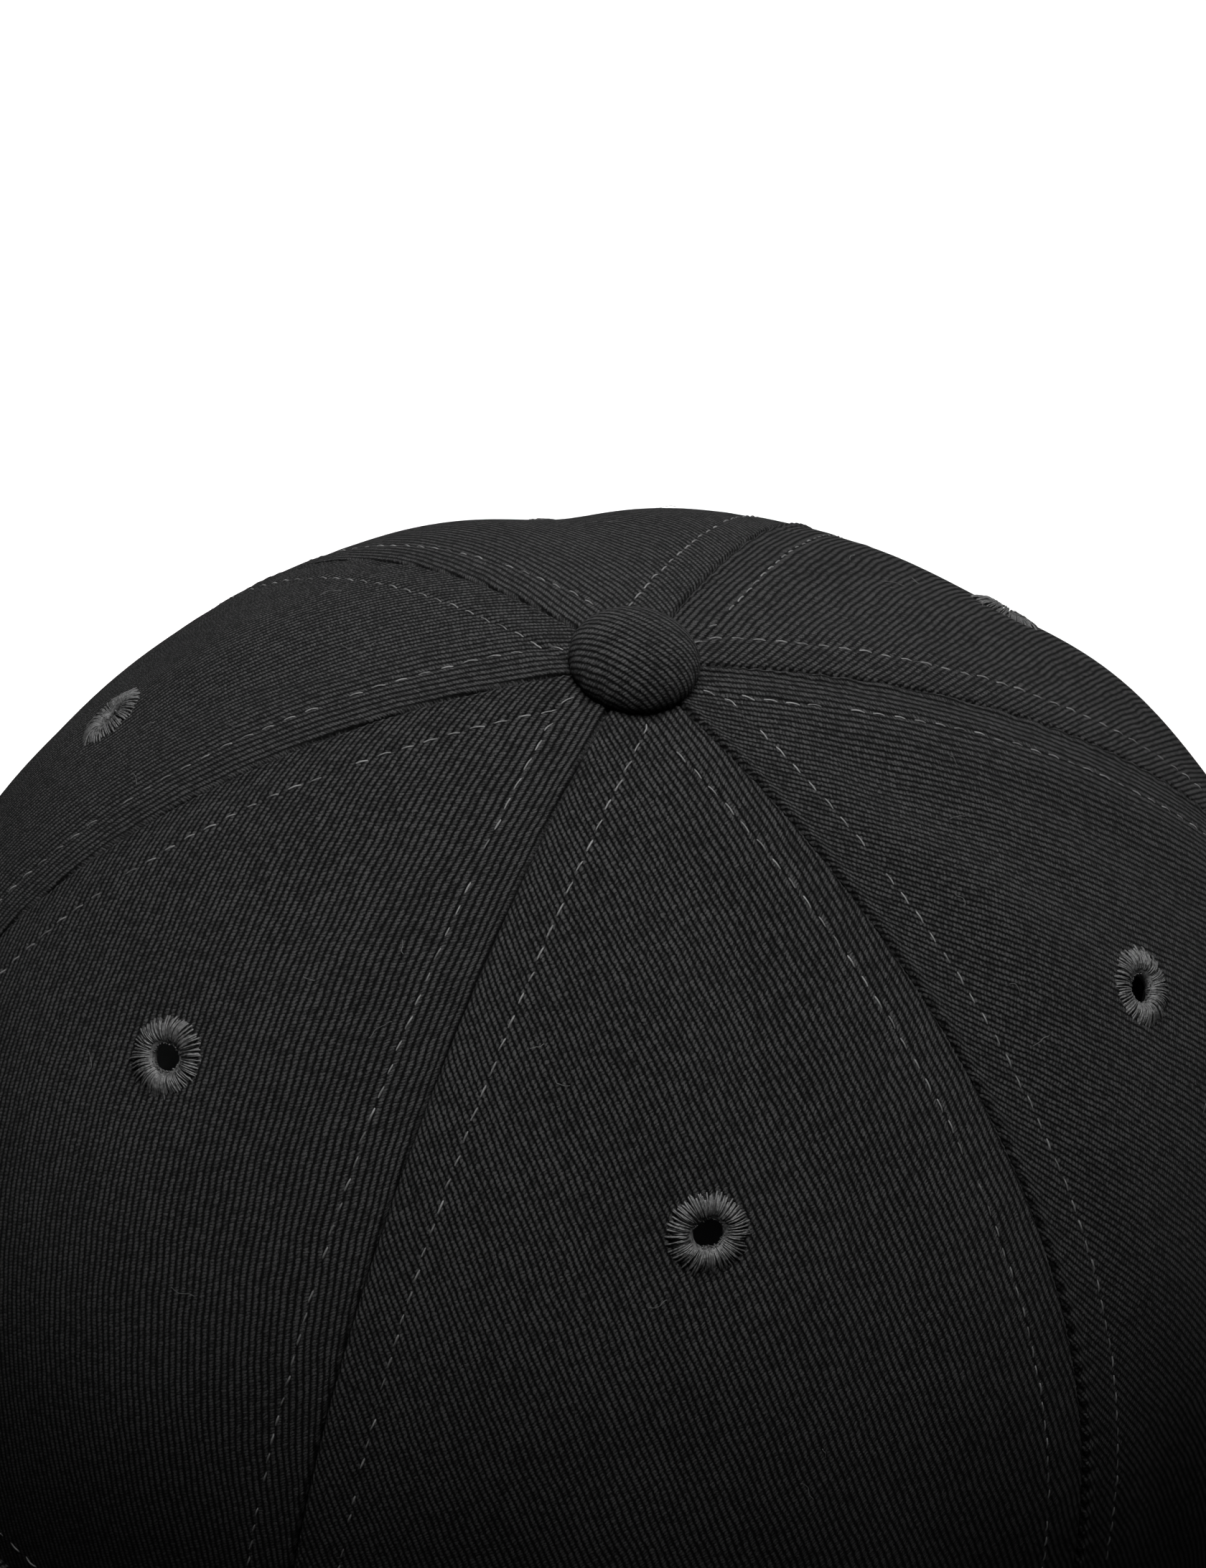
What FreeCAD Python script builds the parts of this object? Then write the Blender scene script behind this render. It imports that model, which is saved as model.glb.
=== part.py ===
import FreeCAD, Part
import os
from math import asin, cos, degrees, pi, radians, sin, sqrt

import Sketcher
from FreeCAD import Placement, Rotation, Vector

# A soft six-panel baseball cap in twill, in millimetres.
# Frame: +Z up, the visor points to -Y, +X is the wearer's left. The origin is the centre of the head
# opening, on the plane that the sweatband's lower edge rests on.

SIZES = {
    # crown: the plan is an ellipse with a longer or shorter half in front and behind
    "crown_front": 101.0,
    "crown_back": 101.3,
    "crown_half_width": 85.2,
    "crown_height": 124.5,
    "apex_offset": -6.7,
    "edge_trim": 0.4,
    "plan_power": 1.714,
    "rise_power": 2.975,
    "side_seam_azimuth": 56.0,
    "back_seam_azimuth": 125.4,
    "cloth_thickness": 0.6,
    "tape_width": 15.0,
    "tape_thickness": 0.4,
    "tape_start": 4.0,
    "tape_foot": 34.0,
    "tape_wedge": 30.0,
    "tape_back_gap": 1.0,
    # button on the apex
    "button_radius": 8.05,
    "button_height": 5.9,
    "button_edge_round": 4.0,
    "cover_thickness": 0.65,
    "shell_thickness": 0.45,
    "shell_gap": 0.05,
    "shell_foot": 0.2,
    "shell_inner_round": 0.2,
    "button_base_drop": 0.37,
    "post_radius": 1.25,
    "tack_radius": 7.0,
    "tack_thickness": 0.8,
    "tack_drop": 1.65,
    "apex_hole_radius": 1.9,
    # eyelets
    "front_eyelet_azimuth": 26.0,
    "front_eyelet_fall": 0.55,
    "side_eyelet_azimuth": 90.5,
    "side_eyelet_fall": 0.555,
    "back_eyelet_azimuth": 151.2,
    "back_eyelet_fall": 0.513,
    "eyelet_radius": 4.9,
    "eyelet_barrel": 3.1,
    "eyelet_bore": 1.9,
    "eyelet_proud": 0.5,
    "eyelet_flange": 4.3,
    "eyelet_inner_top": 0.85,
    "eyelet_inner_foot": 1.25,
    "eyelet_seat": 0.02,
    "eyelet_outer_slope": 0.6,
    "eyelet_inner_slope": 0.4,
    "eyelet_bore_drop": 0.3,
    # visor
    "visor_reach": 71.0,
    "visor_half_width": 82.5,
    "visor_widest": -82.0,
    "visor_corner": -38.0,
    "visor_corner_narrowing": 4.0,
    "visor_nose_power": 2.25,
    "visor_tuck": 2.4,
    "visor_bend": 280.0,
    "visor_crest": 14.9,
    "visor_droop": 6.0,
    "board_thickness": 2.0,
    "visor_cloth": 0.7,
    "arch_ramp_back": -8.0,
    # sweatband
    "band_inset": 3.9,
    "band_thickness": 1.2,
    "band_height": 33.0,
    "hem_height": 1.6,
    "hem_gap": 0.3,
    # back opening
    "opening_half_width": 48.0,
    "opening_height": 53.0,
    "opening_power": 0.9,
    "binding_width": 8.0,
    "binding_thickness": 0.4,
    # closure: strap, tab and clasp turn about a vertical axis at the back's centre of curvature
    "closure_centre": 26.3,
    "strap_foot_radius": 73.0,
    "strap_thickness": 0.9,
    "strap_low": 5.0,
    "strap_height": 20.0,
    "strap_lean": 0.55,
    "strap_left_end": 52.0,
    "strap_right_end": 52.0,
    "clasp_azimuth": 18.0,
    "clasp_angle": 19.0,
    "clasp_gap": 0.3,
    "clasp_sheet": 0.6,
    "clasp_side": 0.8,
    "clasp_rim": 1.6,
    "clasp_depth": 3.5,
    "lever_gap": 0.95,
    "lever_sheet": 0.8,
    "lever_clearance": 0.25,
    "lever_short": 1.0,
    "pin_radius": 0.6,
    "pin_play": 0.06,
    "pin_end": 0.25,
    "pin_out": 2.15,
    "pin_from_end": 1.6,
    "knuckle_radius": 1.25,
    "tooth_gap": 0.3,
    "tooth_width": 0.9,
    "tooth_share": 0.6,
    "tooth_count": 5,
    "tab_end": 50.0,
}

doc = FreeCAD.newDocument("baseball_cap")
sheet = doc.addObject("Spreadsheet::Sheet", "sizes")
for row, (alias, value) in enumerate(SIZES.items(), 1):
    sheet.set("A%d" % row, alias)
    sheet.set("B%d" % row, str(value))
    sheet.setAlias("B%d" % row, alias)
doc.recompute()


def size(alias):
    return float(getattr(sheet, alias))


UP = Vector(0, 0, 1)
FAR = 300.0         # longer than the cap, for shapes that only cut
BELOW = 60.0        # deeper than anything under the rest plane
pieces = []


# ---- shapes made in code, for the cloth's curved faces ----

def crown_point(azimuth, fall, inset):
    """A point of the crown. azimuth is in degrees from the front towards +X, fall runs from 0 at the
    apex to 1 at the lower edge, and inset is how far inside the outer face of the cloth it lies."""
    across = sin(radians(azimuth))
    along = -cos(radians(azimuth))
    half_length = size("crown_front") if along < 0 else size("crown_back")
    half_length -= inset
    half_width = size("crown_half_width") - inset
    apex = size("apex_offset")
    a = (across / half_width) ** 2 + (along / half_length) ** 2
    b = 2 * apex * along / half_length ** 2
    c = (apex / half_length) ** 2 - 1
    reach = (sqrt(b * b - 4 * a * c) - b) / (2 * a)
    turn = pi / 2 * fall
    radius = reach * sin(turn) ** (2 / size("plan_power"))
    trim = size("edge_trim")
    rise = (size("crown_height") - inset + trim) * max(cos(turn), 0.0) ** (2 / size("rise_power"))
    return Vector(radius * across, apex + radius * along, rise - trim)


def crown_normal(azimuth, fall):
    fall_step = 0.002
    turn_step = 0.2
    down = crown_point(azimuth, fall + fall_step, 0) - crown_point(azimuth, fall - fall_step, 0)
    round_ = crown_point(azimuth + turn_step, fall, 0) - crown_point(azimuth - turn_step, fall, 0)
    normal = down.cross(round_)
    return normal.normalize()


def grid_face(rows):
    surface = Part.BSplineSurface()
    surface.interpolate(rows)
    return surface


def between(outer, inner):
    """The closed solid between two surfaces made from grids of the same size."""
    faces = [outer.toShape(), inner.toShape()]
    u0, u1, v0, v1 = outer.bounds()
    for iso, value in (("uIso", u0), ("uIso", u1), ("vIso", v0), ("vIso", v1)):
        outer_edge = getattr(outer, iso)(value).toShape()
        inner_bounds = dict(zip((u0, u1, v0, v1), inner.bounds()))
        inner_edge = getattr(inner, iso)(inner_bounds[value]).toShape()
        faces.append(Part.makeRuledSurface(outer_edge, inner_edge))
    shell = Part.makeShell(faces)
    shell.sewShape()
    solid = Part.makeSolid(shell)
    if solid.Volume < 0:
        solid.reverse()
    return solid


def steps(first, last, count):
    return [first + (last - first) * i / (count - 1) for i in range(count)]


def half_layer(outset, inset):
    """The left half (+X) of a layer of the crown, from the apex hole to the plane it rests on."""
    hole = (size("apex_hole_radius") / size("crown_half_width")) ** (size("plan_power") / 2)
    first = asin(hole) / (pi / 2)
    fall_count = 17
    azimuth_count = 25
    falls = [first + (1 - first) * sin(pi / 2 * u) for u in steps(0, 1, fall_count)]
    azimuths = steps(0, 180, azimuth_count)
    layers = []
    for depth in (outset, inset):
        layers.append(grid_face([[crown_point(a, fall, depth) for fall in falls] for a in azimuths]))
    above_rest = Part.makeBox(FAR, FAR, FAR, Vector(-FAR / 2, -FAR / 2, 0))
    return between(*layers).common(above_rest)


def sector(from_azimuth, to_azimuth):
    """A tall wedge about the apex axis, between two azimuths."""
    apex = Vector(0, size("apex_offset"), -BELOW)
    corners = [apex]
    for azimuth in steps(from_azimuth, to_azimuth, 3):
        turn = radians(azimuth)
        corners.append(apex + Vector(sin(turn), -cos(turn), 0) * FAR)
    corners.append(apex)
    return Part.Face(Part.makePolygon(corners)).extrude(UP * FAR)


def mirrored(shape):
    return shape.mirror(Vector(0, 0, 0), Vector(1, 0, 0))


def visor_height(x, y):
    """Height of the visor's middle surface: bent about a front-back axis, drooping to the front."""
    bend = size("visor_bend")
    sag = bend - sqrt(bend ** 2 - x ** 2)
    forward = max(0.0, -size("crown_front") - y)
    droop = size("visor_droop") * (forward / size("visor_reach")) ** 2
    return size("visor_crest") - sag - droop


def visor_slab(low, high):
    """The slab between two lifts of the visor's middle surface, wider than the visor."""
    half_width = size("visor_half_width") + 12.5
    nose = -size("crown_front") - size("visor_reach") - 13
    xs = steps(-half_width, half_width, 21)
    ys = steps(nose, -20, 23)
    top = grid_face([[Vector(x, y, visor_height(x, y) + high) for y in ys] for x in xs])
    bottom = grid_face([[Vector(x, y, visor_height(x, y) + low) for y in ys] for x in xs])
    return between(top, bottom)


def visor_outline(margin):
    """The visor's plan as a prism. margin is how far inside the outer edge it stays."""
    corner_y = size("visor_corner")
    widest = size("visor_widest")
    half = size("visor_half_width") - margin
    nose = -size("crown_front") - size("visor_reach") + margin
    outline = []
    side_count = 5
    nose_count = 12
    rear_step = 4
    for y in steps(corner_y, widest, side_count)[:-1]:
        share = (y - widest) / (corner_y - widest)
        outline.append(Vector(half - size("visor_corner_narrowing") * share ** 2, y, 0))
    for turn in steps(0, pi / 2, nose_count):
        x = half * cos(turn) ** (2 / size("visor_nose_power"))
        y = widest + (nose - widest) * sin(turn) ** (2 / size("visor_nose_power"))
        outline.append(Vector(x, y, 0))
    outline += [Vector(-p.x, p.y, 0) for p in reversed(outline[:-1])]
    front = Part.BSplineCurve()
    front.interpolate(outline)
    azimuth = 0.0
    rear = []
    while crown_point(azimuth, 1, size("visor_tuck")).y < corner_y:
        edge = crown_point(azimuth, 1, size("visor_tuck"))
        rear.append(Vector(edge.x, edge.y, 0))
        azimuth += rear_step
    last = rear[-1]
    rear = [Vector(-p.x, p.y, 0) for p in reversed(rear[1:])] + rear
    back = Part.BSplineCurve()
    back.interpolate(rear)
    wire = Part.Wire([
        front.toShape(),
        Part.makeLine(outline[-1], Vector(-last.x, last.y, 0)),
        back.toShape(),
        Part.makeLine(last, outline[0]),
    ])
    prism = Part.Face(wire).extrude(UP * 2 * BELOW)
    prism.translate(UP * -BELOW)
    return prism


def below_arch():
    """Everything under the lower edge of the crown where it arches over the visor."""
    top = size("board_thickness") / 2 + size("visor_cloth")
    corner_y = size("visor_corner")
    side = FAR / 2
    ahead = Part.makeBox(FAR, FAR, FAR, Vector(-side, corner_y - FAR, -FAR / 2))
    front = visor_slab(-BELOW, top).common(ahead)
    corner = visor_height(size("visor_half_width") - size("visor_corner_narrowing"), corner_y) + top
    ramp = Part.makePolygon([
        Vector(-side, corner_y, -BELOW),
        Vector(-side, corner_y, corner),
        Vector(-side, size("arch_ramp_back"), 0),
        Vector(-side, size("arch_ramp_back"), -BELOW),
        Vector(-side, corner_y, -BELOW),
    ])
    return front.fuse(Part.Face(ramp).extrude(Vector(FAR, 0, 0)))


def back_opening(margin):
    """The half-moon opening at the back as a prism along Y, grown by margin."""
    half = size("opening_half_width") + margin
    rise = size("opening_height") + margin
    power = size("opening_power")
    arch_count = 19
    points = []
    for turn in steps(0, pi, arch_count):
        points.append(Vector(half * cos(turn), 0, rise * sin(turn) ** power))
    arch = Part.BSplineCurve()
    arch.interpolate(points)
    foot = [Vector(half, 0, 0), Vector(half, 0, -BELOW), Vector(-half, 0, -BELOW), Vector(-half, 0, 0)]
    face = Part.Face(Part.Wire([arch.toShape()] + Part.makePolygon(foot[::-1]).Edges))
    return face.extrude(Vector(0, FAR, 0))


def add_shape(label, shape):
    feature = doc.addObject("Part::Feature", label)
    feature.Label = label
    feature.Shape = shape
    pieces.append(feature)
    return feature


# ---- PartDesign bodies ----

def new_body(label):
    body = doc.addObject("PartDesign::Body", label)
    body.Label = label
    pieces.append(body)
    return body


def sketch_on(body, role, name):
    sketch = body.newObject("Sketcher::SketchObject", name)
    plane = [f for f in body.Origin.OriginFeatures if f.Role == role][0]
    sketch.AttachmentSupport = [(plane, "")]
    sketch.MapMode = "FlatFace"
    return sketch


def draw_profile(sketch, corners):
    """A closed outline whose corners are pairs of expressions over the sheet's sizes."""
    count = len(corners)
    values = []
    for corner in corners:
        values.append([evaluate(text) for text in corner])
    for i in range(count):
        start = Vector(values[i][0], values[i][1], 0)
        end = Vector(values[(i + 1) % count][0], values[(i + 1) % count][1], 0)
        sketch.addGeometry(Part.LineSegment(start, end), False)
    for i in range(count):
        sketch.addConstraint(Sketcher.Constraint("Coincident", i, 2, (i + 1) % count, 1))
    for i in range(count):
        for axis, kind, line in ((0, "DistanceX", -2), (1, "DistanceY", -1)):
            value = values[i][axis]
            if abs(value) < 1e-9:
                sketch.addConstraint(Sketcher.Constraint("PointOnObject", i, 1, line))
                continue
            index = sketch.addConstraint(Sketcher.Constraint(kind, -1, 1, i, 1, value))
            name = "corner_%d_%s" % (i, "xy"[axis])
            sketch.renameConstraint(index, name)
            sketch.setExpression("Constraints." + name, corners[i][axis])


def evaluate(expression):
    """The value of an expression over the sheet, worked out by the sheet itself."""
    sheet.set("D1", "=" + expression.replace("sizes.", ""))
    sheet.recompute()
    return float(sheet.get("D1"))


def revolved(body, corners, angle=None):
    """Revolves an XZ profile about the body's Z axis, through 360 degrees or a bound angle."""
    sketch = sketch_on(body, "XZ_Plane", body.Label + "_profile")
    draw_profile(sketch, corners)
    turn = body.newObject("PartDesign::Revolution", body.Label + "_turn")
    turn.Profile = sketch
    turn.ReferenceAxis = (sketch, ["V_Axis"])
    if angle is None:
        turn.Angle = 360
    else:
        turn.Midplane = True
        turn.setExpression("Angle", angle)
    sketch.Visibility = False
    return turn


# ---- crown ----

OPENING = back_opening(0)
BELOW_ARCH = below_arch()
CROWN = half_layer(0, size("cloth_thickness"))
SIDE_SEAM = size("side_seam_azimuth")
BACK_SEAM = size("back_seam_azimuth")
PANELS = {"front": (0, SIDE_SEAM), "side": (SIDE_SEAM, BACK_SEAM), "back": (BACK_SEAM, 180)}


def beyond(azimuth):
    """Past the middle seams the wedge runs on, so that only the crown's own edge is left there."""
    extra = 8
    return {0: -extra, 180: 180 + extra}.get(azimuth, azimuth)


def eyelet_placement(name, side):
    azimuth = side * size(name + "_eyelet_azimuth")
    fall = size(name + "_eyelet_fall")
    return Placement(crown_point(azimuth, fall, 0), Rotation(UP, crown_normal(azimuth, fall)))


def panel(name):
    shape = CROWN.common(sector(beyond(PANELS[name][0]), beyond(PANELS[name][1])))
    depth = 12
    bore = Part.makeCylinder(size("eyelet_barrel"), depth, UP * (-depth / 2))
    bore.Placement = eyelet_placement(name, 1).multiply(bore.Placement)
    shape = shape.cut(bore)
    if name != "back":
        shape = shape.cut(BELOW_ARCH)
    if name == "back":
        shape = shape.cut(OPENING)
    return shape.Solids[0]


for panel_name in PANELS:
    cloth = panel(panel_name)
    add_shape(panel_name + "_panel_left", cloth)
    add_shape(panel_name + "_panel_right", mirrored(cloth))


# ---- seam tapes inside the crown, one over each seam ----

def seam_tape(azimuth):
    """A strip of the layer under the cloth, its edges parallel to the seam."""
    outset = size("cloth_thickness")
    layer = half_layer(outset, outset + size("tape_thickness"))
    layer = layer.fuse(mirrored(layer))
    half = size("tape_width") / 2
    top_gap = size("tape_start") / sin(radians(size("tape_wedge")))
    strip = Part.makeBox(2 * half, FAR, FAR, Vector(-half, -FAR, 0))
    nose = Part.Face(Part.makePolygon([
        Vector(0, -size("tape_start"), 0),
        Vector(half, -top_gap - half, 0),
        Vector(half, -FAR, 0),
        Vector(-half, -FAR, 0),
        Vector(-half, -top_gap - half, 0),
        Vector(0, -size("tape_start"), 0),
    ])).extrude(UP * FAR)
    strip = strip.common(nose)
    strip.rotate(Vector(0, 0, 0), UP, azimuth)
    strip.translate(Vector(0, size("apex_offset"), 0))
    foot = size("tape_foot")
    if azimuth == 0:
        foot += size("visor_crest")
    if azimuth == 180:
        foot = size("opening_height") + size("binding_width") + size("tape_back_gap")
    strip = strip.common(Part.makeBox(FAR, FAR, FAR, Vector(-FAR / 2, -FAR / 2, foot)))
    return layer.common(strip).Solids[0]


add_shape("seam_tape_front", seam_tape(0))
add_shape("seam_tape_back", seam_tape(180))
for tape_name, tape_azimuth in (("front", SIDE_SEAM), ("back", BACK_SEAM)):
    tape = seam_tape(tape_azimuth)
    add_shape("seam_tape_%s_left" % tape_name, tape)
    add_shape("seam_tape_%s_right" % tape_name, mirrored(tape))


# ---- eyelets ----

def eyelet(name, side):
    body = new_body("eyelet_%s_%s" % (name, "left" if side > 0 else "right"))
    revolved(body, [
        ("sizes.eyelet_bore", "-sizes.eyelet_inner_foot"),
        ("sizes.eyelet_flange", "-sizes.eyelet_inner_foot"),
        ("sizes.eyelet_flange", "-sizes.eyelet_inner_top"),
        ("sizes.eyelet_barrel", "-sizes.eyelet_inner_top"),
        ("sizes.eyelet_barrel", "sizes.eyelet_seat"),
        ("sizes.eyelet_radius", "sizes.eyelet_seat"),
        ("sizes.eyelet_radius - sizes.eyelet_outer_slope", "sizes.eyelet_proud"),
        ("sizes.eyelet_bore + sizes.eyelet_inner_slope", "sizes.eyelet_proud"),
        ("sizes.eyelet_bore", "sizes.eyelet_proud - sizes.eyelet_bore_drop"),
    ])
    body.Placement = eyelet_placement(name, side)


for panel_name in PANELS:
    for side in (1, -1):
        eyelet(panel_name, side)


# ---- button ----

def place_on_apex(body):
    body.setExpression("Placement.Base.y", "sizes.apex_offset")
    body.setExpression("Placement.Base.z", "sizes.crown_height")


def round_corner(body, name, radius, rounding):
    """Rounds the upper circular edge of this radius."""
    tip = body.Tip
    edges = []
    for index, edge in enumerate(tip.Shape.Edges, 1):
        circle = edge.Curve
        if isinstance(circle, Part.Circle) and abs(circle.Radius - radius) < 1e-3 and circle.Center.z > 0:
            edges.append("Edge%d" % index)
    fillet = body.newObject("PartDesign::Fillet", name)
    fillet.Base = (tip, edges)
    fillet.setExpression("Radius", rounding)
    body.Tip = fillet
    doc.recompute()


COVER_TOP = "sizes.button_height - sizes.button_base_drop"
cover = new_body("button_cover")
revolved(cover, [
    ("sizes.button_radius - sizes.cover_thickness", "-sizes.button_base_drop"),
    ("sizes.button_radius", "-sizes.button_base_drop"),
    ("sizes.button_radius", COVER_TOP),
    ("0", COVER_TOP),
    ("0", COVER_TOP + " - sizes.cover_thickness"),
    ("sizes.button_radius - sizes.cover_thickness", COVER_TOP + " - sizes.cover_thickness"),
])
place_on_apex(cover)
doc.recompute()
round_corner(cover, "button_cover_round", size("button_radius"), "sizes.button_edge_round")
round_corner(cover, "button_cover_inner_round", size("button_radius") - size("cover_thickness"),
             "sizes.button_edge_round - sizes.cover_thickness")

SHELL_RADIUS = "sizes.button_radius - sizes.cover_thickness - sizes.shell_gap"
SHELL_TOP = COVER_TOP + " - sizes.cover_thickness - sizes.shell_gap"
SHELL_UNDER = SHELL_TOP + " - sizes.shell_thickness"
SHELL_ROUND = "(sizes.button_edge_round - sizes.cover_thickness)"
shell = new_body("button_shell")
revolved(shell, [
    (SHELL_RADIUS + " - sizes.shell_thickness", "-sizes.shell_foot"),
    (SHELL_RADIUS, "-sizes.shell_foot"),
    (SHELL_RADIUS, SHELL_TOP + " - " + SHELL_ROUND),
    (SHELL_RADIUS + " - " + SHELL_ROUND, SHELL_TOP),
    ("0", SHELL_TOP),
    ("0", SHELL_UNDER),
    (SHELL_RADIUS + " - " + SHELL_ROUND + " - sizes.shell_inner_round", SHELL_UNDER),
    (SHELL_RADIUS + " - sizes.shell_thickness",
     SHELL_TOP + " - " + SHELL_ROUND + " - sizes.shell_inner_round"),
])
place_on_apex(shell)

tack = new_body("button_tack")
revolved(tack, [
    ("0", "-sizes.tack_drop - sizes.tack_thickness"),
    ("sizes.tack_radius", "-sizes.tack_drop - sizes.tack_thickness"),
    ("sizes.tack_radius", "-sizes.tack_drop"),
    ("sizes.post_radius", "-sizes.tack_drop"),
    ("sizes.post_radius", SHELL_UNDER),
    ("0", SHELL_UNDER),
])
place_on_apex(tack)


# ---- visor ----

half_board = size("board_thickness") / 2
visor_cloth = size("visor_cloth")
OUTER_PLAN = visor_outline(0)
INNER_PLAN = visor_outline(visor_cloth)
board = visor_slab(-half_board, half_board).common(INNER_PLAN)
under = visor_slab(-half_board - visor_cloth, -half_board).common(INNER_PLAN)
whole = visor_slab(-half_board - visor_cloth, half_board + visor_cloth).common(OUTER_PLAN)
core = visor_slab(-BELOW, half_board).common(INNER_PLAN)
add_shape("visor_board", board.Solids[0])
add_shape("visor_top_cover", whole.cut(core).Solids[0])
add_shape("visor_under_cover", under.Solids[0])


# ---- sweatband ----

def lifted(shape, rise):
    copy = shape.copy()
    copy.translate(UP * rise)
    return copy


def above_edge(height):
    """The space up to this height above the crown's lower edge, arch included."""
    block = Part.makeBox(FAR, FAR, height, Vector(-FAR / 2, -FAR / 2, 0))
    return block.fuse(lifted(BELOW_ARCH, height))


inset = size("band_inset")
band = half_layer(inset, inset + size("band_thickness")).common(above_edge(size("band_height")))
hem = half_layer(size("cloth_thickness"), inset).common(above_edge(size("hem_height")))
hem = hem.cut(back_opening(size("binding_width") + size("hem_gap")))
half_band = band.cut(back_opening(size("binding_thickness"))).fuse(hem).cut(BELOW_ARCH)
band = half_band.fuse(mirrored(half_band)).removeSplitter()
add_shape("sweatband", band.Solids[0])


# ---- binding round the back opening ----

thick = size("binding_thickness")
wrap = half_layer(-thick, size("cloth_thickness") + thick)
wrap = wrap.common(back_opening(size("binding_width"))).cut(back_opening(-thick))
wrap = wrap.common(Part.makeBox(FAR, FAR, FAR, Vector(-FAR / 2, 0, 0)))
wrap = wrap.cut(CROWN.cut(OPENING))
add_shape("arch_binding", wrap.fuse(mirrored(wrap)).removeSplitter().Solids[0])


# ---- closure ----

def at_closure(body, turn):
    """Stands a body on the closure's vertical axis, turned from the back towards the wearer's right."""
    body.setExpression("Placement.Base.y", "sizes.closure_centre")
    body.Placement.Rotation = Rotation(UP, 90)
    body.setExpression("Placement.Rotation.Angle", "90 + " + turn)


def lean_at(height):
    """How far the closure leans in at a height, as an expression."""
    return "sizes.strap_lean * (%s - sizes.strap_low) / sizes.strap_height" % height


def leaning(inner, outer, low, high):
    """A slanted four-sided section between two radii at the strap's foot and two heights."""
    return [
        ("%s - %s" % (inner, lean_at(low)), low),
        ("%s - %s" % (outer, lean_at(low)), low),
        ("%s - %s" % (outer, lean_at(high)), high),
        ("%s - %s" % (inner, lean_at(high)), high),
    ]


STRAP_INNER = "sizes.strap_foot_radius - sizes.strap_thickness / 2"
STRAP_OUTER = "sizes.strap_foot_radius + sizes.strap_thickness / 2"
STRAP_LOW = "sizes.strap_low"
STRAP_HIGH = "(sizes.strap_low + sizes.strap_height)"
strap = new_body("closure_strap")
revolved(strap, leaning(STRAP_INNER, STRAP_OUTER, STRAP_LOW, STRAP_HIGH),
         "sizes.strap_left_end + sizes.strap_right_end")
at_closure(strap, "(sizes.strap_right_end - sizes.strap_left_end) / 2")

PLATE_OUTER = STRAP_INNER + " - sizes.clasp_gap"
PLATE_INNER = PLATE_OUTER + " - sizes.clasp_sheet"
tab = new_body("clasp_tab")
TAB_START = "(sizes.clasp_azimuth + sizes.clasp_angle / 2)"
revolved(tab, leaning(PLATE_INNER, PLATE_OUTER, STRAP_LOW, STRAP_HIGH), "sizes.tab_end - " + TAB_START)
at_closure(tab, "(sizes.tab_end + " + TAB_START + ") / 2")

# The frame is a channel, open outwards, that the strap passes through.
FRAME_LOW = "(sizes.strap_low - sizes.clasp_rim)"
FRAME_HIGH = "(sizes.strap_low + sizes.strap_height + sizes.clasp_rim)"
SILL = "(sizes.strap_low - sizes.clasp_rim + sizes.clasp_side)"
HEAD = "(sizes.strap_low + sizes.strap_height + sizes.clasp_rim - sizes.clasp_side)"
LIP = PLATE_INNER + " + sizes.clasp_depth + sizes.clasp_sheet"
frame = new_body("clasp_frame")
channel = [
    ("%s - %s" % (PLATE_INNER, lean_at(FRAME_LOW)), FRAME_LOW),
    ("%s - %s" % (LIP, lean_at(FRAME_LOW)), FRAME_LOW),
    ("%s - %s" % (LIP, lean_at(SILL)), SILL),
    ("%s - %s" % (PLATE_OUTER, lean_at(SILL)), SILL),
    ("%s - %s" % (PLATE_OUTER, lean_at(HEAD)), HEAD),
    ("%s - %s" % (LIP, lean_at(HEAD)), HEAD),
    ("%s - %s" % (LIP, lean_at(FRAME_HIGH)), FRAME_HIGH),
    ("%s - %s" % (PLATE_INNER, lean_at(FRAME_HIGH)), FRAME_HIGH),
]
revolved(frame, channel, "sizes.clasp_angle")
at_closure(frame, "sizes.clasp_azimuth")


def closure_placement(azimuth):
    """The frame of a point on the strap's outer face at its foot: X outwards, Z up the strap."""
    turn = radians(90 + azimuth)
    lean = degrees(asin(size("strap_lean") / size("strap_height")))
    radius = size("strap_foot_radius") + size("strap_thickness") / 2
    base = Vector(radius * cos(turn), size("closure_centre") + radius * sin(turn), size("strap_low"))
    return Placement(base, Rotation(UP, 90 + azimuth).multiply(Rotation(Vector(0, 1, 0), -lean)))


PIN_AZIMUTH = (size("clasp_azimuth") - size("clasp_angle") / 2
               + degrees(size("pin_from_end") / size("strap_foot_radius")))
PIN_FRAME = closure_placement(PIN_AZIMUTH)
rim = size("clasp_rim")
tall = size("strap_height") + 2 * rim
pin_centre = Vector(size("pin_out"), 0, -rim)


def upright_cylinder(radius, low, high):
    """A cylinder on the pin's axis in the pin's frame, between two heights above the clasp's foot."""
    return Part.makeCylinder(radius, high - low, pin_centre + UP * low)


def pin():
    """The hinge pin, its ends let into the clasp's sides."""
    shape = upright_cylinder(size("pin_radius"), -size("pin_end"), tall + size("pin_end"))
    shape.Placement = PIN_FRAME
    return shape


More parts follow.
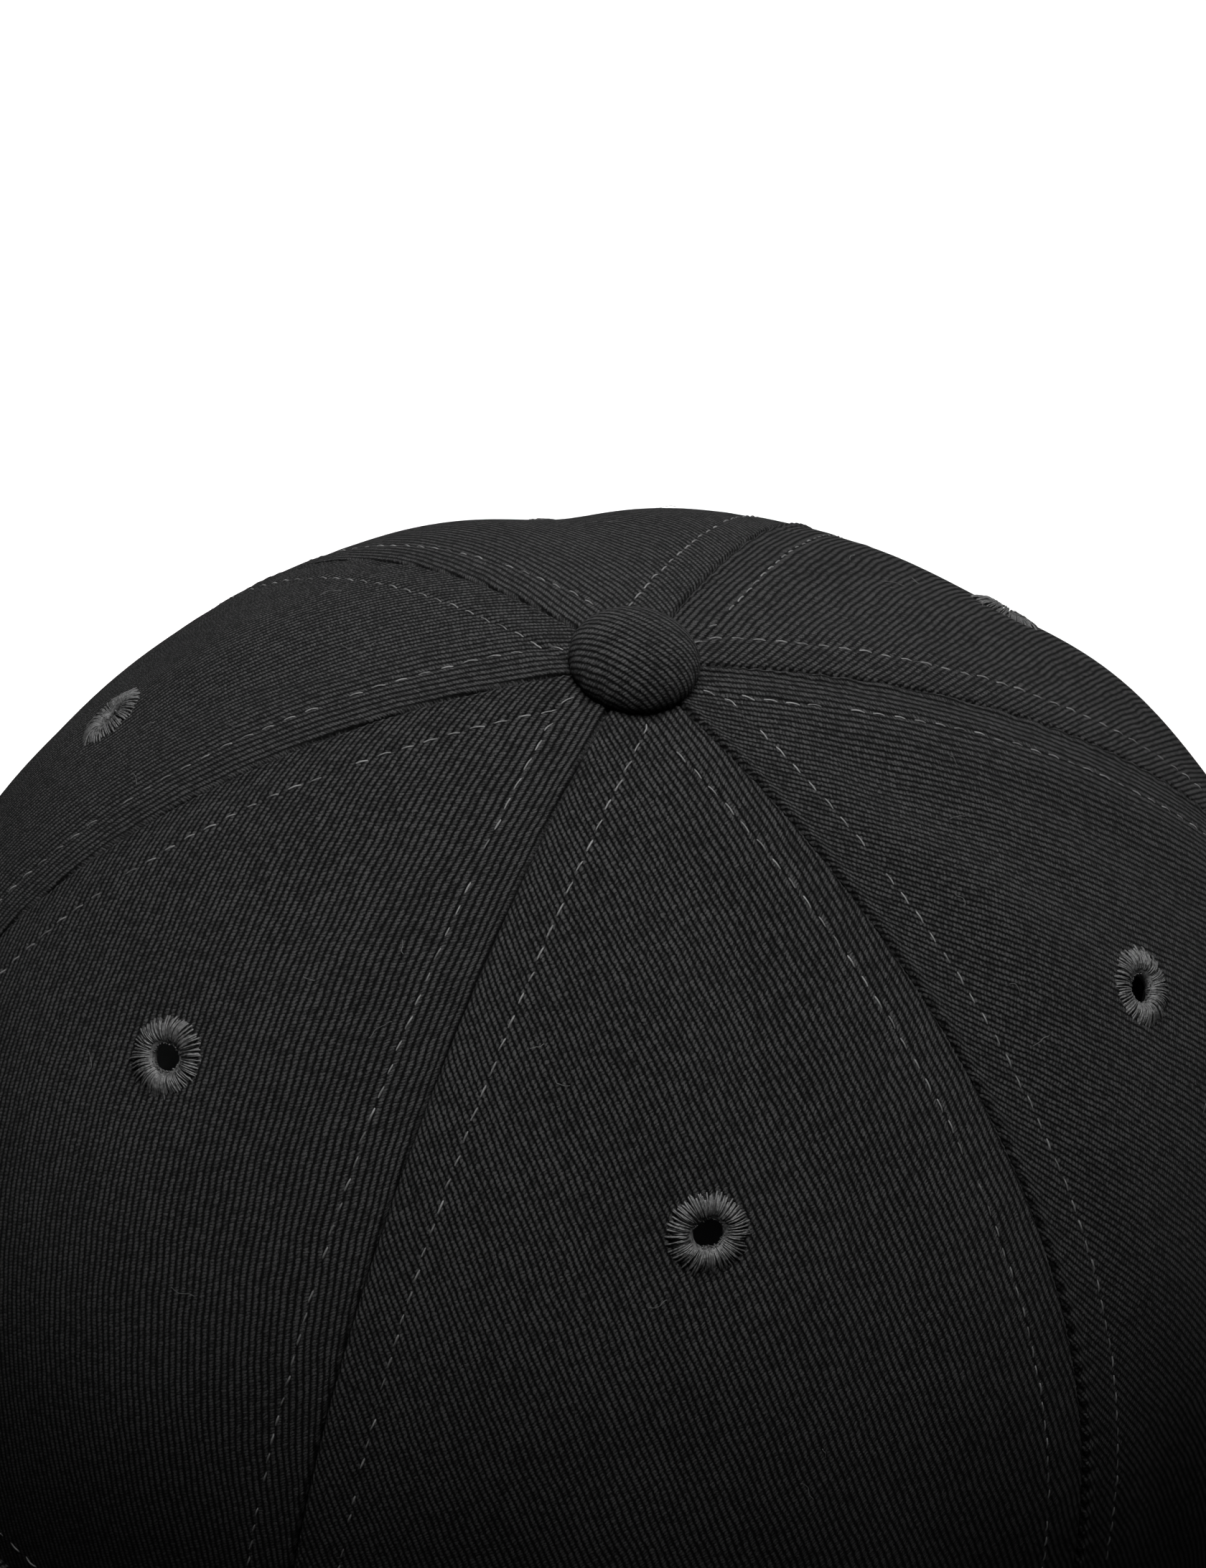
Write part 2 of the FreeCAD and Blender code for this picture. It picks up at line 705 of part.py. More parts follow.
def lever():
    """The toothed lever: a curved plate on a knuckle that turns on the pin."""
    side = size("clasp_side") + size("lever_clearance")
    height = tall - 2 * side
    strap_face = size("strap_foot_radius") + size("strap_thickness") / 2
    bend_centre = Vector(-strap_face, 0, side - rim)
    inner = strap_face + size("lever_gap")
    sweep = size("clasp_angle") - size("lever_short") - degrees(
        size("pin_from_end") / size("strap_foot_radius"))
    plate = Part.makeCylinder(inner + size("lever_sheet"), height, bend_centre, UP, sweep)
    plate = plate.cut(Part.makeCylinder(inner, height, bend_centre))
    knuckle = upright_cylinder(size("knuckle_radius"), side, tall - side)
    body = plate.fuse(knuckle)
    count = int(size("tooth_count"))
    pitch = height / count
    width = size("tooth_width")
    share = size("tooth_share")
    for i in range(count):
        foot = Vector(size("tooth_gap"), -width / 2, side - rim + pitch * (i + (1 - share) / 2))
        tooth = Part.makeBox(size("pin_out") - size("tooth_gap"), width, pitch * share, foot)
        body = body.fuse(tooth)
    body = body.cut(upright_cylinder(size("pin_radius") + size("pin_play"), -1, tall + 1))
    if len(body.Solids) != 1:
        raise RuntimeError("the lever is not one solid")
    body.Placement = PIN_FRAME
    return body.Solids[0]


add_shape("clasp_pin", pin())
add_shape("clasp_lever", lever())

doc.recompute()


# ---- checks and files ----

os.makedirs("parts", exist_ok=True)
for item in doc.Objects:
    bad = [state for state in item.State if state in ("Invalid", "Error")]
    if bad:
        raise RuntimeError("%s is %s" % (item.Label, bad))
for piece in pieces:
    if piece.Shape.isNull() or not piece.Shape.isValid():
        raise RuntimeError("%s has no valid shape" % piece.Label)
for piece in pieces:
    piece.Shape.exportStep("parts/%s.step" % piece.Label)
    box = piece.Shape.BoundBox
    print("%-24s %9.1f mm3  x %7.1f %7.1f  y %7.1f %7.1f  z %7.1f %7.1f" % (
        piece.Label, piece.Shape.Volume, box.XMin, box.XMax, box.YMin, box.YMax, box.ZMin, box.ZMax))
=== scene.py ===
import math

import bpy
import numpy as np
from mathutils import Matrix, Vector


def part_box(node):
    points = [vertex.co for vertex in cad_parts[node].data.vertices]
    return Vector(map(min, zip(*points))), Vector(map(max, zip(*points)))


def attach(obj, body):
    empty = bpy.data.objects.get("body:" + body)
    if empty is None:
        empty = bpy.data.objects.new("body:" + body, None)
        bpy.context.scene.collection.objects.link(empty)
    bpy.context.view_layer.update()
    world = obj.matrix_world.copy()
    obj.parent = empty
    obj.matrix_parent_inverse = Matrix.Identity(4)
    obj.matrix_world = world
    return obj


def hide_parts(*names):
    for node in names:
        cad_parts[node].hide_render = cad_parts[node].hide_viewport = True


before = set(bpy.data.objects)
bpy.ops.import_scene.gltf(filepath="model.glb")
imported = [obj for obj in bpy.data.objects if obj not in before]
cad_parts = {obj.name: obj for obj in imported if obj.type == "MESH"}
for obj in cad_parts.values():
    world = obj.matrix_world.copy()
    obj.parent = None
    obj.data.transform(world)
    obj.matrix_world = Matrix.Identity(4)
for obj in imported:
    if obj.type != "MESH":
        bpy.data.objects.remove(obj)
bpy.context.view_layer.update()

# A soft six-panel cap in black twill. Metres. +Z is up, the visor points to -Y, +X is the wearer's left.
MM = 0.001

# The crown's form, as in the CAD model: a plan ellipse, longer or shorter behind, under a rounded dome.
CROWN_FRONT = 101.0 * MM
CROWN_BACK = 101.3 * MM
HALF_WIDTH = 85.2 * MM
CROWN_HEIGHT = 124.5 * MM
APEX_Y = -6.7 * MM
EDGE_TRIM = 0.4 * MM
PLAN_POWER = 1.714
RISE_POWER = 2.975
SIDE_SEAM = math.radians(56.0)
BACK_SEAM = math.radians(125.4)
CLOTH = 0.6 * MM

# The visor: its middle surface is bent about a front-back axis and droops to the front.
VISOR_REACH = 71.0 * MM
VISOR_HALF = 82.5 * MM
VISOR_WIDEST = -82.0 * MM
VISOR_CORNER = -38.0 * MM
VISOR_NARROWING = 4.0 * MM
VISOR_NOSE_POWER = 2.25
VISOR_TUCK = 2.4 * MM
VISOR_BEND = 280.0 * MM
VISOR_CREST = 14.9 * MM
VISOR_DROOP = 6.0 * MM
VISOR_HALF_THICK = 1.7 * MM
RAMP_BACK = -8.0 * MM

# The half-moon opening and the closure.
OPENING_HALF = 48.0 * MM
OPENING_HEIGHT = 53.0 * MM
OPENING_POWER = 0.9
CLOSURE_Y = 26.3 * MM
STRAP_RADIUS = 73.0 * MM
STRAP_LOW = 5.0 * MM
STRAP_HEIGHT = 20.0 * MM
STRAP_LEAN = 0.55 * MM

SEED = 7
rng = np.random.default_rng(SEED)


# ---- small sums

def smoothstep(low, high, value):
    t = np.clip((value - low) / (high - low), 0, 1)
    return t * t * (3 - 2 * t)


def area_under(values, at):
    return np.sum((values[1:] + values[:-1]) / 2 * np.diff(at))


def bump(value, centre, width):
    return np.exp(-((value - centre) / width) ** 2)


def unit(vectors):
    return vectors / (np.linalg.norm(vectors, axis=-1, keepdims=True) + 1e-30)


def lengths(points):
    """Distance along a line of points from its start."""
    return np.concatenate([[0], np.cumsum(np.linalg.norm(np.diff(points, axis=0), axis=1))])


def sample(at, length, values):
    return np.stack([np.interp(at, length, column) for column in values.T], 1)


# ---- the crown's surface

def scale_at(fall):
    """The plan's share of its full size, at a fall of 0 at the apex to 1 at the lower edge."""
    return np.sin(np.pi / 2 * np.asarray(fall, float)) ** (2 / PLAN_POWER)


def crown(azimuth, fall, inset=0.0):
    """Points of the crown, inset inside its outer face. azimuth is from the front towards +X."""
    azimuth, fall, inset = np.broadcast_arrays(azimuth, fall, inset)
    across = np.sin(azimuth)
    along = -np.cos(azimuth)
    length = np.where(along < 0, CROWN_FRONT, CROWN_BACK) - inset
    width = HALF_WIDTH - inset
    a = (across / width) ** 2 + (along / length) ** 2
    b = 2 * APEX_Y * along / length ** 2
    c = (APEX_Y / length) ** 2 - 1
    reach = (np.sqrt(b * b - 4 * a * c) - b) / (2 * a)
    radius = reach * scale_at(fall)
    rise = np.clip(np.cos(np.pi / 2 * fall), 0, None) ** (2 / RISE_POWER)
    height = (CROWN_HEIGHT - inset + EDGE_TRIM) * rise - EDGE_TRIM
    return np.stack([radius * across, APEX_Y + radius * along, height], -1)


def fall_at(height, inset=0.0):
    """The fall at which the crown is this high."""
    share = (np.asarray(height, float) + EDGE_TRIM) / (CROWN_HEIGHT - inset + EDGE_TRIM)
    return np.arccos(np.clip(share, 0, 1) ** (RISE_POWER / 2)) / (np.pi / 2)


def crown_normal(azimuth, fall):
    azimuth, fall = np.broadcast_arrays(azimuth, fall)
    step = 0.003
    down = crown(azimuth, np.minimum(fall + step, 1)) - crown(azimuth, fall - step)
    round_ = crown(azimuth + step, fall) - crown(azimuth - step, fall)
    return unit(np.cross(down, round_))


# Distance round the lower edge from the front, by azimuth, and from the apex down the side, by fall.
ROUND_AZ = np.linspace(-np.pi, np.pi, 2881)
ROUND_LEN = lengths(crown(ROUND_AZ, 1.0))
ROUND_LEN -= np.interp(0, ROUND_AZ, ROUND_LEN)
DOWN_FALL = np.linspace(0, 1, 801)


def down_table(azimuth):
    return lengths(crown(azimuth, DOWN_FALL))


def round_len(azimuth):
    return np.interp(azimuth, ROUND_AZ, ROUND_LEN)


def visor_middle(x, y):
    sag = VISOR_BEND - np.sqrt(VISOR_BEND ** 2 - np.square(x))
    forward = np.maximum(0.0, -CROWN_FRONT - y)
    return VISOR_CREST - sag - VISOR_DROOP * (forward / VISOR_REACH) ** 2


def edge_height(azimuth):
    """Height of the crown's lower edge: it arches over the visor and ramps down behind its corners."""
    foot = crown(azimuth, 1.0)
    x, y = foot[..., 0], foot[..., 1]
    over = visor_middle(x, y) + VISOR_HALF_THICK
    corner = visor_middle(VISOR_HALF - VISOR_NARROWING, VISOR_CORNER) + VISOR_HALF_THICK
    ramp = corner * (RAMP_BACK - y) / (RAMP_BACK - VISOR_CORNER)
    return np.where(y < VISOR_CORNER, over, np.clip(ramp, 0, None))


# ---- mesh helpers

def new_object(name, verts, faces, material, body):
    mesh = bpy.data.meshes.new(name)
    mesh.from_pydata([tuple(v) for v in np.asarray(verts, float)], [], [tuple(f) for f in faces])
    mesh.validate()
    mesh.polygons.foreach_set("use_smooth", [True] * len(mesh.polygons))
    mesh.materials.append(material)
    obj = bpy.data.objects.new(name, mesh)
    bpy.context.scene.collection.objects.link(obj)
    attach(obj, body)
    return obj


def set_uv(obj, across, down):
    """The cloth's own flat coordinates, given in metres and kept in millimetres, for the weave."""
    uv = np.stack(np.broadcast_arrays(across, down), -1).reshape(-1, 2) / MM
    layer = obj.data.uv_layers.new(name="cloth")
    loops = np.zeros(len(obj.data.loops), np.int32)
    obj.data.loops.foreach_get("vertex_index", loops)
    layer.data.foreach_set("uv", np.asarray(uv, np.float32)[loops].ravel())


def grid_faces(rows, columns, closed=False):
    """Quads of a grid whose vertices are in row order. Closed joins the last column to the first."""
    r, c = np.meshgrid(np.arange(rows - 1), np.arange(columns if closed else columns - 1), indexing="ij")
    n = (c + 1) % columns
    a, b = r * columns + c, r * columns + n
    return np.stack([a, b, b + columns, a + columns], -1).reshape(-1, 4)


def grid_object(name, grid, material, flip=False):
    """A piece of the cap's cloth from a grid of points (rows, columns, 3)."""
    faces = grid_faces(*grid.shape[:2])
    faces = faces[:, ::-1] if flip else faces
    return new_object(name, grid.reshape(-1, 3), faces.tolist(), material, "cap")


def solidify(obj, thickness):
    modifier = obj.modifiers.new("thickness", "SOLIDIFY")
    modifier.thickness = thickness
    modifier.offset = -1
    modifier.use_even_offset = False
    return modifier


def tubes(paths, normals, radius, sides=6):
    """Closed tubes along paths of equally many points. paths and normals are (tubes, points, 3)."""
    paths = np.asarray(paths, float)
    tangent = unit(np.gradient(paths, axis=1))
    side = unit(np.cross(tangent, normals))
    lift = np.cross(side, tangent)
    count, points = paths.shape[:2]
    radius = np.broadcast_to(np.asarray(radius, float), (count, points))
    turn = np.arange(sides) / sides * 2 * np.pi
    ring = (np.cos(turn)[None, None, :, None] * side[:, :, None]
            + np.sin(turn)[None, None, :, None] * lift[:, :, None])
    verts = paths[:, :, None] + ring * radius[:, :, None, None]
    one = grid_faces(points, sides, closed=True)
    starts = np.arange(count) * points * sides
    walls = (one[None] + starts[:, None, None]).reshape(-1, 4)
    first = (starts[:, None] + np.arange(sides)[::-1][None]).tolist()
    last = (starts[:, None] + (points - 1) * sides + np.arange(sides)[None]).tolist()
    return verts.reshape(-1, 3), walls.tolist() + first + last


def merge(parts):
    verts, faces, start = [], [], 0
    for v, f in parts:
        verts.append(np.asarray(v))
        faces += [tuple(i + start for i in face) for face in f]
        start += len(v)
    return np.concatenate(verts), faces


def sweep_section(lines):
    """Joins closed cross-sections (stations, points, 3) into a tube with capped ends."""
    stations, points = lines.shape[:2]
    faces = grid_faces(stations, points, closed=True).tolist()
    faces.append(list(range(points))[::-1])
    faces.append([(stations - 1) * points + i for i in range(points)])
    return lines.reshape(-1, 3), faces


# ---- materials

class Value:
    """An output of a node, with the arithmetic of the shader's math nodes."""

    def __init__(self, nodes, socket):
        self.nodes, self.socket = nodes, socket

    def of(self, operation, *others):
        return self.nodes.add("Math", 0, enumerate((self, *others)), operation=operation)

    def __add__(self, other):
        return self.of("ADD", other)

    def __sub__(self, other):
        return self.of("SUBTRACT", other)

    def __mul__(self, other):
        return self.of("MULTIPLY", other)

    def __truediv__(self, other):
        return self.of("DIVIDE", other)


class Nodes:
    """A short hand for building a material's node tree."""

    def __init__(self, name):
        self.material = bpy.data.materials.new(name)
        self.material.use_nodes = True
        self.tree = self.material.node_tree

    def put(self, node, inputs):
        """Sets a node's inputs, given by name or number, or links them where the value is another node's."""
        for key, value in dict(inputs).items():
            if isinstance(value, Value):
                self.tree.links.new(value.socket, node.inputs[key])
            else:
                node.inputs[key].default_value = value

    def add(self, kind, output, inputs=(), **settings):
        node = self.tree.nodes.new("ShaderNode" + kind)
        for key, value in settings.items():
            setattr(node, key, value)
        self.put(node, inputs)
        return Value(self, node.outputs[output])

    def noise(self, scale, detail=2.0, roughness=0.5, vector=None):
        inputs = {"Scale": scale, "Detail": detail, "Roughness": roughness}
        if vector is not None:
            inputs["Vector"] = vector
        return self.add("TexNoise", "Fac", inputs)

    def ramp(self, value, low, high, from_low=0.0, from_high=1.0):
        inputs = {"Value": value, "From Min": from_low, "From Max": from_high, "To Min": low, "To Max": high}
        return self.add("MapRange", "Result", inputs, interpolation_type="SMOOTHSTEP")

    def mix(self, factor, a, b):
        return self.add("Mix", 2, {0: factor, 6: a, 7: b}, data_type="RGBA")

    def bump(self, height, strength, distance):
        return self.add("Bump", "Normal", {"Strength": strength, "Distance": distance, "Height": height})

    def cloth(self):
        """The cloth's flat coordinates in millimetres, together, across and down the grain."""
        uv = self.add("UVMap", "UV", uv_map="cloth")
        return uv, self.add("SeparateXYZ", "X", {0: uv}), self.add("SeparateXYZ", "Y", {0: uv})

    def surface(self, inputs):
        self.put(self.tree.nodes["Principled BSDF"], inputs)
        return self.material


def twill_material(name, dark, light, lean):
    """Cotton twill: steep ropy wales built from short slanted floats, uneven and hairy, over gaps: the colour
    is painted dark in the gaps as painted shade and light on the floats' crests as painted highlight.
    """
    wale, float_length, relief = 0.84, 0.45, 0.2 * MM      # the first two in millimetres
    n = Nodes(name)
    uv, across, down = n.cloth()
    across = across + (n.noise(0.11, 2.0, 0.5, uv) - 0.5) * 0.9
    cosine, sine = math.cos(math.radians(lean)), math.sin(math.radians(lean))
    along = across * sine + down * cosine
    phase = (across * cosine - down * sine + (n.noise(1.5, 3.0, 0.6, uv) - 0.5) * 0.38) / wale
    share, row = phase.of("FRACT"), phase.of("FLOOR")
    ridge = (share * math.pi).of("SINE")
    shift = n.add("TexWhiteNoise", "Value", {"W": row}, noise_dimensions="1D")
    float_phase = along / float_length + share * 0.8 + shift + n.noise(0.9, 2.0, 0.5, uv) * 1.6
    bead = (float_phase.of("FRACT") * math.pi).of("SINE")
    cell = n.add("CombineXYZ", 0, {0: row, 1: float_phase.of("FLOOR")})
    own = n.add("TexWhiteNoise", "Value", {"Vector": cell}, noise_dimensions="2D")
    height = ridge * (bead * 0.5 + 0.5) + (n.noise(4.5, 5.0, 0.8, uv) - 0.5) * 1.5
    # The tone follows the weave's height: painted shade in the gaps between the wales and a painted highlight
    # on each float's crest, made stronger or weaker at random from float to float.
    tone = n.ramp(height, 0.0, 1.0, 0.22, 1.18) * (own * 0.9 + 0.5)
    tone = tone * n.ramp(n.noise(0.045, 3.0, 0.55, uv), 0.8, 1.2)
    tone = tone * n.ramp(n.noise(9.0, 2.0, 0.6, uv), 0.45, 1.55, 0.3, 0.7)
    return n.surface({"Base Color": n.mix(tone, dark, light), "Roughness": 0.8, "Specular IOR Level": 0.06,
                      "Sheen Weight": 0.015, "Sheen Roughness": 0.4, "Sheen Tint": (0.5, 0.5, 0.52, 1),
                      "Normal": n.bump(height, 1.0, relief)})


def thread_material(name, dark, light, sheen, strand_scale=900.0, roughness=0.6):
    """Spun thread: a fine lengthwise fibre grain and tone changes from strand to strand."""
    n = Nodes(name)
    place = n.add("TexCoord", "Object")
    grain = n.noise(9000.0, 3.0, 0.6, place)
    tone = grain * 0.4 + n.noise(strand_scale, 2.0, 0.5, place) * 0.6
    return n.surface({"Base Color": n.mix(n.ramp(tone, 0.0, 1.0, 0.35, 0.65), dark, light),
                      "Roughness": roughness, "Sheen Weight": sheen, "Sheen Roughness": 0.35,
                      "Normal": n.bump(grain, 0.6, 0.00006)})


def weave_material(name, dark, light, pitch, ribs=0.0):
    """Plain woven tape or lining: over and under yarns on a square grid, with colour painted darker where the
    yarns dip, as painted shade, and lighter where they rise, as painted highlight.
    """
    n = Nodes(name)
    uv, across, down = n.cloth()
    wobble = (n.noise(0.5, 2.0, 0.5, uv) - 0.5) * 0.3
    x = ((across + wobble) * (math.pi / pitch)).of("SINE")
    y = ((down - wobble) * (math.pi / pitch)).of("SINE")
    height = x * y * 0.35 + (x.of("ABSOLUTE") + y.of("ABSOLUTE")) * 0.4
    if ribs:
        height = height + (across * (math.pi / ribs)).of("SINE").of("ABSOLUTE")
    height = height + n.noise(6.0, 3.0, 0.6, uv) * 0.4
    # The colour follows the weave's height: painted shade where the yarns dip and painted highlight where
    # they rise.
    return n.surface({"Base Color": n.mix(n.ramp(height, 0.0, 1.0, 0.1, 1.3), dark, light), "Roughness": 0.85,
                      "Specular IOR Level": 0.2, "Sheen Weight": 0.1, "Normal": n.bump(height, 1.0, 0.00008)})


def metal_material(name, colour, worn, roughness, brush=(1.0, 1.0, 60.0)):
    """Plated metal with a brushed grain, small scratches and paler wear where it is handled."""
    n = Nodes(name)
    place = n.add("TexCoord", "Object")
    grain = n.noise(300.0, 4.0, 0.6, n.add("Mapping", 0, {"Scale": brush, "Vector": place}))
    worn_here = n.ramp(n.noise(260.0, 3.0, 0.6, place), 0.2, 1.0, 0.35, 0.65)
    wear = n.ramp(n.add("NewGeometry", "Pointiness"), 0.0, 1.0, 0.5, 0.56) * worn_here
    return n.surface({"Base Color": n.mix(wear, colour, worn), "Metallic": 1.0,
                      "Roughness": n.ramp(grain, roughness - 0.08, roughness + 0.12),
                      "Normal": n.bump(grain, 0.3, 0.00002)})


def plastic_material(name, dark, light):
    """Moulded board with a fine matt grain."""
    n = Nodes(name)
    place = n.add("TexCoord", "Object")
    grain = n.noise(2500.0, 3.0, 0.6, place)
    return n.surface({"Base Color": n.mix(n.noise(60.0, 3.0, 0.5, place), dark, light),
                      "Roughness": n.ramp(grain, 0.45, 0.65), "Normal": n.bump(grain, 0.2, 0.00004)})


def grey(value, warmth=0.0):
    return (value * (1 + warmth), value, value * (1 - warmth), 1)


# The twill's dark colour is the painted shade of its gaps, its light colour the painted highlight of its
# crests.
TWILL = twill_material("twill", grey(0.0008), grey(0.054), 22.0)
BUTTON_TWILL = twill_material("button_twill", grey(0.0008), grey(0.057), 42.0)
THREAD = thread_material("topstitch_thread", grey(0.03), grey(0.13), sheen=0.05, strand_scale=500.0)
EMBROIDERY = thread_material("embroidery_thread", grey(0.003), grey(0.066), sheen=0.03,
                             strand_scale=2600.0, roughness=0.55)
LINT = thread_material("lint", grey(0.03), grey(0.10), sheen=0.05)
# The tape's and the band's dark colour is painted shade between the yarns, their light colour painted
# highlight on them.
TAPE = weave_material("seam_tape", grey(0.006), grey(0.03), pitch=0.45)
BAND = weave_material("sweatband", grey(0.006), grey(0.032), pitch=0.4, ribs=1.1)
CLASP_METAL = metal_material("clasp_metal", grey(0.12), grey(0.36), 0.36)
TACK_METAL = metal_material("tack_metal", grey(0.42), grey(0.62), 0.3, brush=(1.0, 1.0, 1.0))
BOARD = plastic_material("visor_board", grey(0.55, 0.02), grey(0.66, 0.02))


# ---- crown panels

STITCH_LINE = 5.6 * MM       # how far each row of topstitching lies from its seam
STITCH_PITCH = 2.9 * MM
PANEL_TOP = 4.0 * MM         # where the cloth starts, under the button
# azimuth on the left side and fall of each eyelet
EYELETS = {"front": (26.0, 0.55), "side": (90.5, 0.555), "back": (151.2, 0.513)}
HOLE_RADIUS = 2.3 * MM
PUCKER_PITCH = 3.0           # in millimetres, as is the next
EDGE_TUCK = 0.7

BACK_CUT = 0.0016            # what the half-moon takes from each back panel, in square metres

# name, first and last azimuth, how far the cloth billows, and which side's edge lies on top at each seam
PANELS = {
    "front_panel_right": (-SIDE_SEAM, 0.0, 0.45, (0.5, 0)),
    "front_panel_left": (0.0, SIDE_SEAM, 0.45, (0.5, 0.5)),
    "side_panel_right": (-BACK_SEAM, -SIDE_SEAM, 0.6, (0, 0)),
    "side_panel_left": (SIDE_SEAM, BACK_SEAM, 0.6, (0, 0)),
    "back_panel_right": (-math.pi, -BACK_SEAM, 1.0, (0, 1)),
    "back_panel_left": (BACK_SEAM, math.pi, 1.0, (1, 1)),
}


# soft folds, in millimetres: place across the panel, width, start and end below the apex, and depth
FOLDS = {
    "side_panel_left": ((3.0, 7.0, 14.0, 78.0, 1.1), (-16.0, 8.0, 45.0, 120.0, 0.8),
                        (18.0, 7.0, 60.0, 130.0, 0.7)),
    "side_panel_right": ((-5.0, 8.0, 16.0, 84.0, 0.9), (15.0, 9.0, 60.0, 130.0, 0.7)),
    "back_panel_left": ((-4.0, 6.0, 18.0, 80.0, 0.9), (12.0, 8.0, 40.0, 90.0, 0.7)),
    "back_panel_right": ((5.0, 7.0, 20.0, 82.0, 0.9),),
    "front_panel_left": ((-2.0, 7.0, 22.0, 80.0, 0.7), (13.0, 8.0, 60.0, 120.0, 0.6)),
    "front_panel_right": ((4.0, 7.0, 25.0, 85.0, 0.6), (-12.0, 8.0, 60.0, 120.0, 0.5)),
}


def seam_profile(distance, down, on_top, phase):
    """How far the cloth stands off the crown's form on one side of a seam. All in millimetres."""
    pitch = PUCKER_PITCH * (0.55 + 0.45 * smoothstep(15, 60, down))
    pucker = np.cos(2 * np.pi * down / pitch + phase + 1.3 * np.sin(down / 7.3 + phase))
    serration = np.sin(2 * np.pi * down / 0.95 + 2 * np.sin(down / 4.1) + phase)
    groove = -EDGE_TUCK * bump(distance, 0, 0.25 + 0.09 * serration)
    lip = 0.26 * on_top * bump(distance, 0.7, 0.55)
    scallop = (0.03 + 0.2 * on_top ** 2) * pucker * np.exp(-distance) * np.clip(down / 12, 0, 1)
    sewn = -0.13 * bump(distance, STITCH_LINE / MM, 0.5)
    return groove + lip + scallop + sewn + 0.08 * bump(distance, 8.6, 2.2)


def allowance(distance):
    """The seam allowance that lies under the cloth as far as the topstitching, in millimetres."""
    return 0.22 * (1 - smoothstep(4.6, 7.4, distance))


class Panel:
    """One gore of the crown as a continuous surface over azimuth and fall."""

    def __init__(self, name):
        self.name = name
        self.first, self.last, self.billow, self.on_top = PANELS[name]
        self.middle = (self.first + self.last) / 2
        self.down = down_table(self.middle)
        self.phases = rng.uniform(0, 2 * np.pi, 8)
        degrees, self.eyelet_fall = EYELETS[name.split("_")[0]]
        self.eyelet_azimuth = math.copysign(math.radians(degrees), self.middle)
        self.eyelet = crown(self.eyelet_azimuth, self.eyelet_fall)

    def sides(self, azimuth, fall):
        """Distances from the first and the last seam, and the distance down from the apex."""
        size = scale_at(fall)
        left = size * (round_len(azimuth) - round_len(self.first))
        right = size * (round_len(self.last) - round_len(azimuth))
        return left, right, np.interp(fall, DOWN_FALL, self.down)

    def azimuth_at(self, side, distance, fall):
        """The azimuth that lies this far from the first (0) or last (1) seam."""
        offset = distance / scale_at(fall)
        target = round_len(self.first) + offset if side == 0 else round_len(self.last) - offset
        return np.interp(target, ROUND_LEN, ROUND_AZ)

    def flat_area(self):
        """The gore's area laid flat, down to the crown's lower edge in the middle of the panel."""
        bottom = fall_at(edge_height(np.array(self.middle)))
        falls = np.linspace(0, bottom, 400)
        downs = np.interp(falls, DOWN_FALL, self.down)
        return float(area_under(scale_at(falls) * (round_len(self.last) - round_len(self.first)), downs))

    def lift(self, azimuth, fall):
        """How far the cloth stands off the crown's form."""
        left, right, down = (distance / MM for distance in self.sides(azimuth, fall))
        p = self.phases
        lift = np.maximum(allowance(left), allowance(right))
        lift += seam_profile(left, down, self.on_top[0], p[0])
        lift += seam_profile(right, down, self.on_top[1], p[1])
        across = (left - right) / 2
        room = smoothstep(5, 16, np.minimum(left, right)) * smoothstep(8, 45, down)
        wave = np.sin(across / 9.5 + 2.0 * np.sin(down / 34 + p[2]) + p[3])
        wave += 0.7 * np.sin(down / 17 + across / 23 + p[4])
        wave += 0.5 * np.sin(across / 5.6 - down / 26 + p[5])
        belly = 0.8 * np.sin(np.pi * left / np.maximum(left + right, 1e-3)) * smoothstep(10, 60, down)
        lift += self.billow * (0.42 * wave * room + 0.35 * belly)
        for x, breadth, first, last, depth in FOLDS[self.name]:
            line = x + 0.10 * (down - first)
            span = smoothstep(first, first + 18, down) * (1 - smoothstep(last - 22, last, down))
            lift -= depth * bump(across, line, breadth) * span * room
        gap = np.linalg.norm(crown(azimuth, fall) - self.eyelet, axis=-1) / MM
        lift -= 0.35 * bump(gap, 0, 7) + 0.8 * bump(gap, 0, 15)
        return lift * MM

    def point(self, azimuth, fall, above=0.0):
        normal = crown_normal(azimuth, np.clip(fall, 0.01, 1))
        return crown(azimuth, fall) + normal * (self.lift(azimuth, fall) + above)[..., None]

    def uv(self, azimuth, fall):
        """The gore's flat coordinates; its grain turns under beside each seam."""
        left, right, down = self.sides(azimuth, fall)
        across = scale_at(fall) * (round_len(azimuth) - round_len(self.middle))
        rolled = (0.25 + 0.75 * self.on_top[1]) * np.exp(-right / (1.2 * MM))
        rolled -= (0.25 + 0.75 * self.on_top[0]) * np.exp(-left / (1.2 * MM))
        return np.stack([across + rolled * MM, down], -1)


def panel_columns(width):
    """Column positions as shares of the width, close together by the seams."""
    edge = np.array([0, 0.13, 0.26, 0.4, 0.6, 0.85, 1.15, 1.5, 2.0, 2.7, 3.5, 4.2, 4.8, 5.3, 5.7, 6.1, 6.7,
                     7.5, 8.6, 10.0]) * MM
    inner = np.linspace(edge[-1], width - edge[-1], int((width - 2 * edge[-1]) / (1.5 * MM)) + 2)
    return np.concatenate([edge, inner[1:-1], width - edge[::-1]]) / width


def opening_height_at(x, margin=0.0):
    """Height of the half-moon opening's edge at this x."""
    share = np.clip(1 - (x / (OPENING_HALF + margin)) ** 2, 0, None)
    return (OPENING_HEIGHT + margin) * share ** (OPENING_POWER / 2)


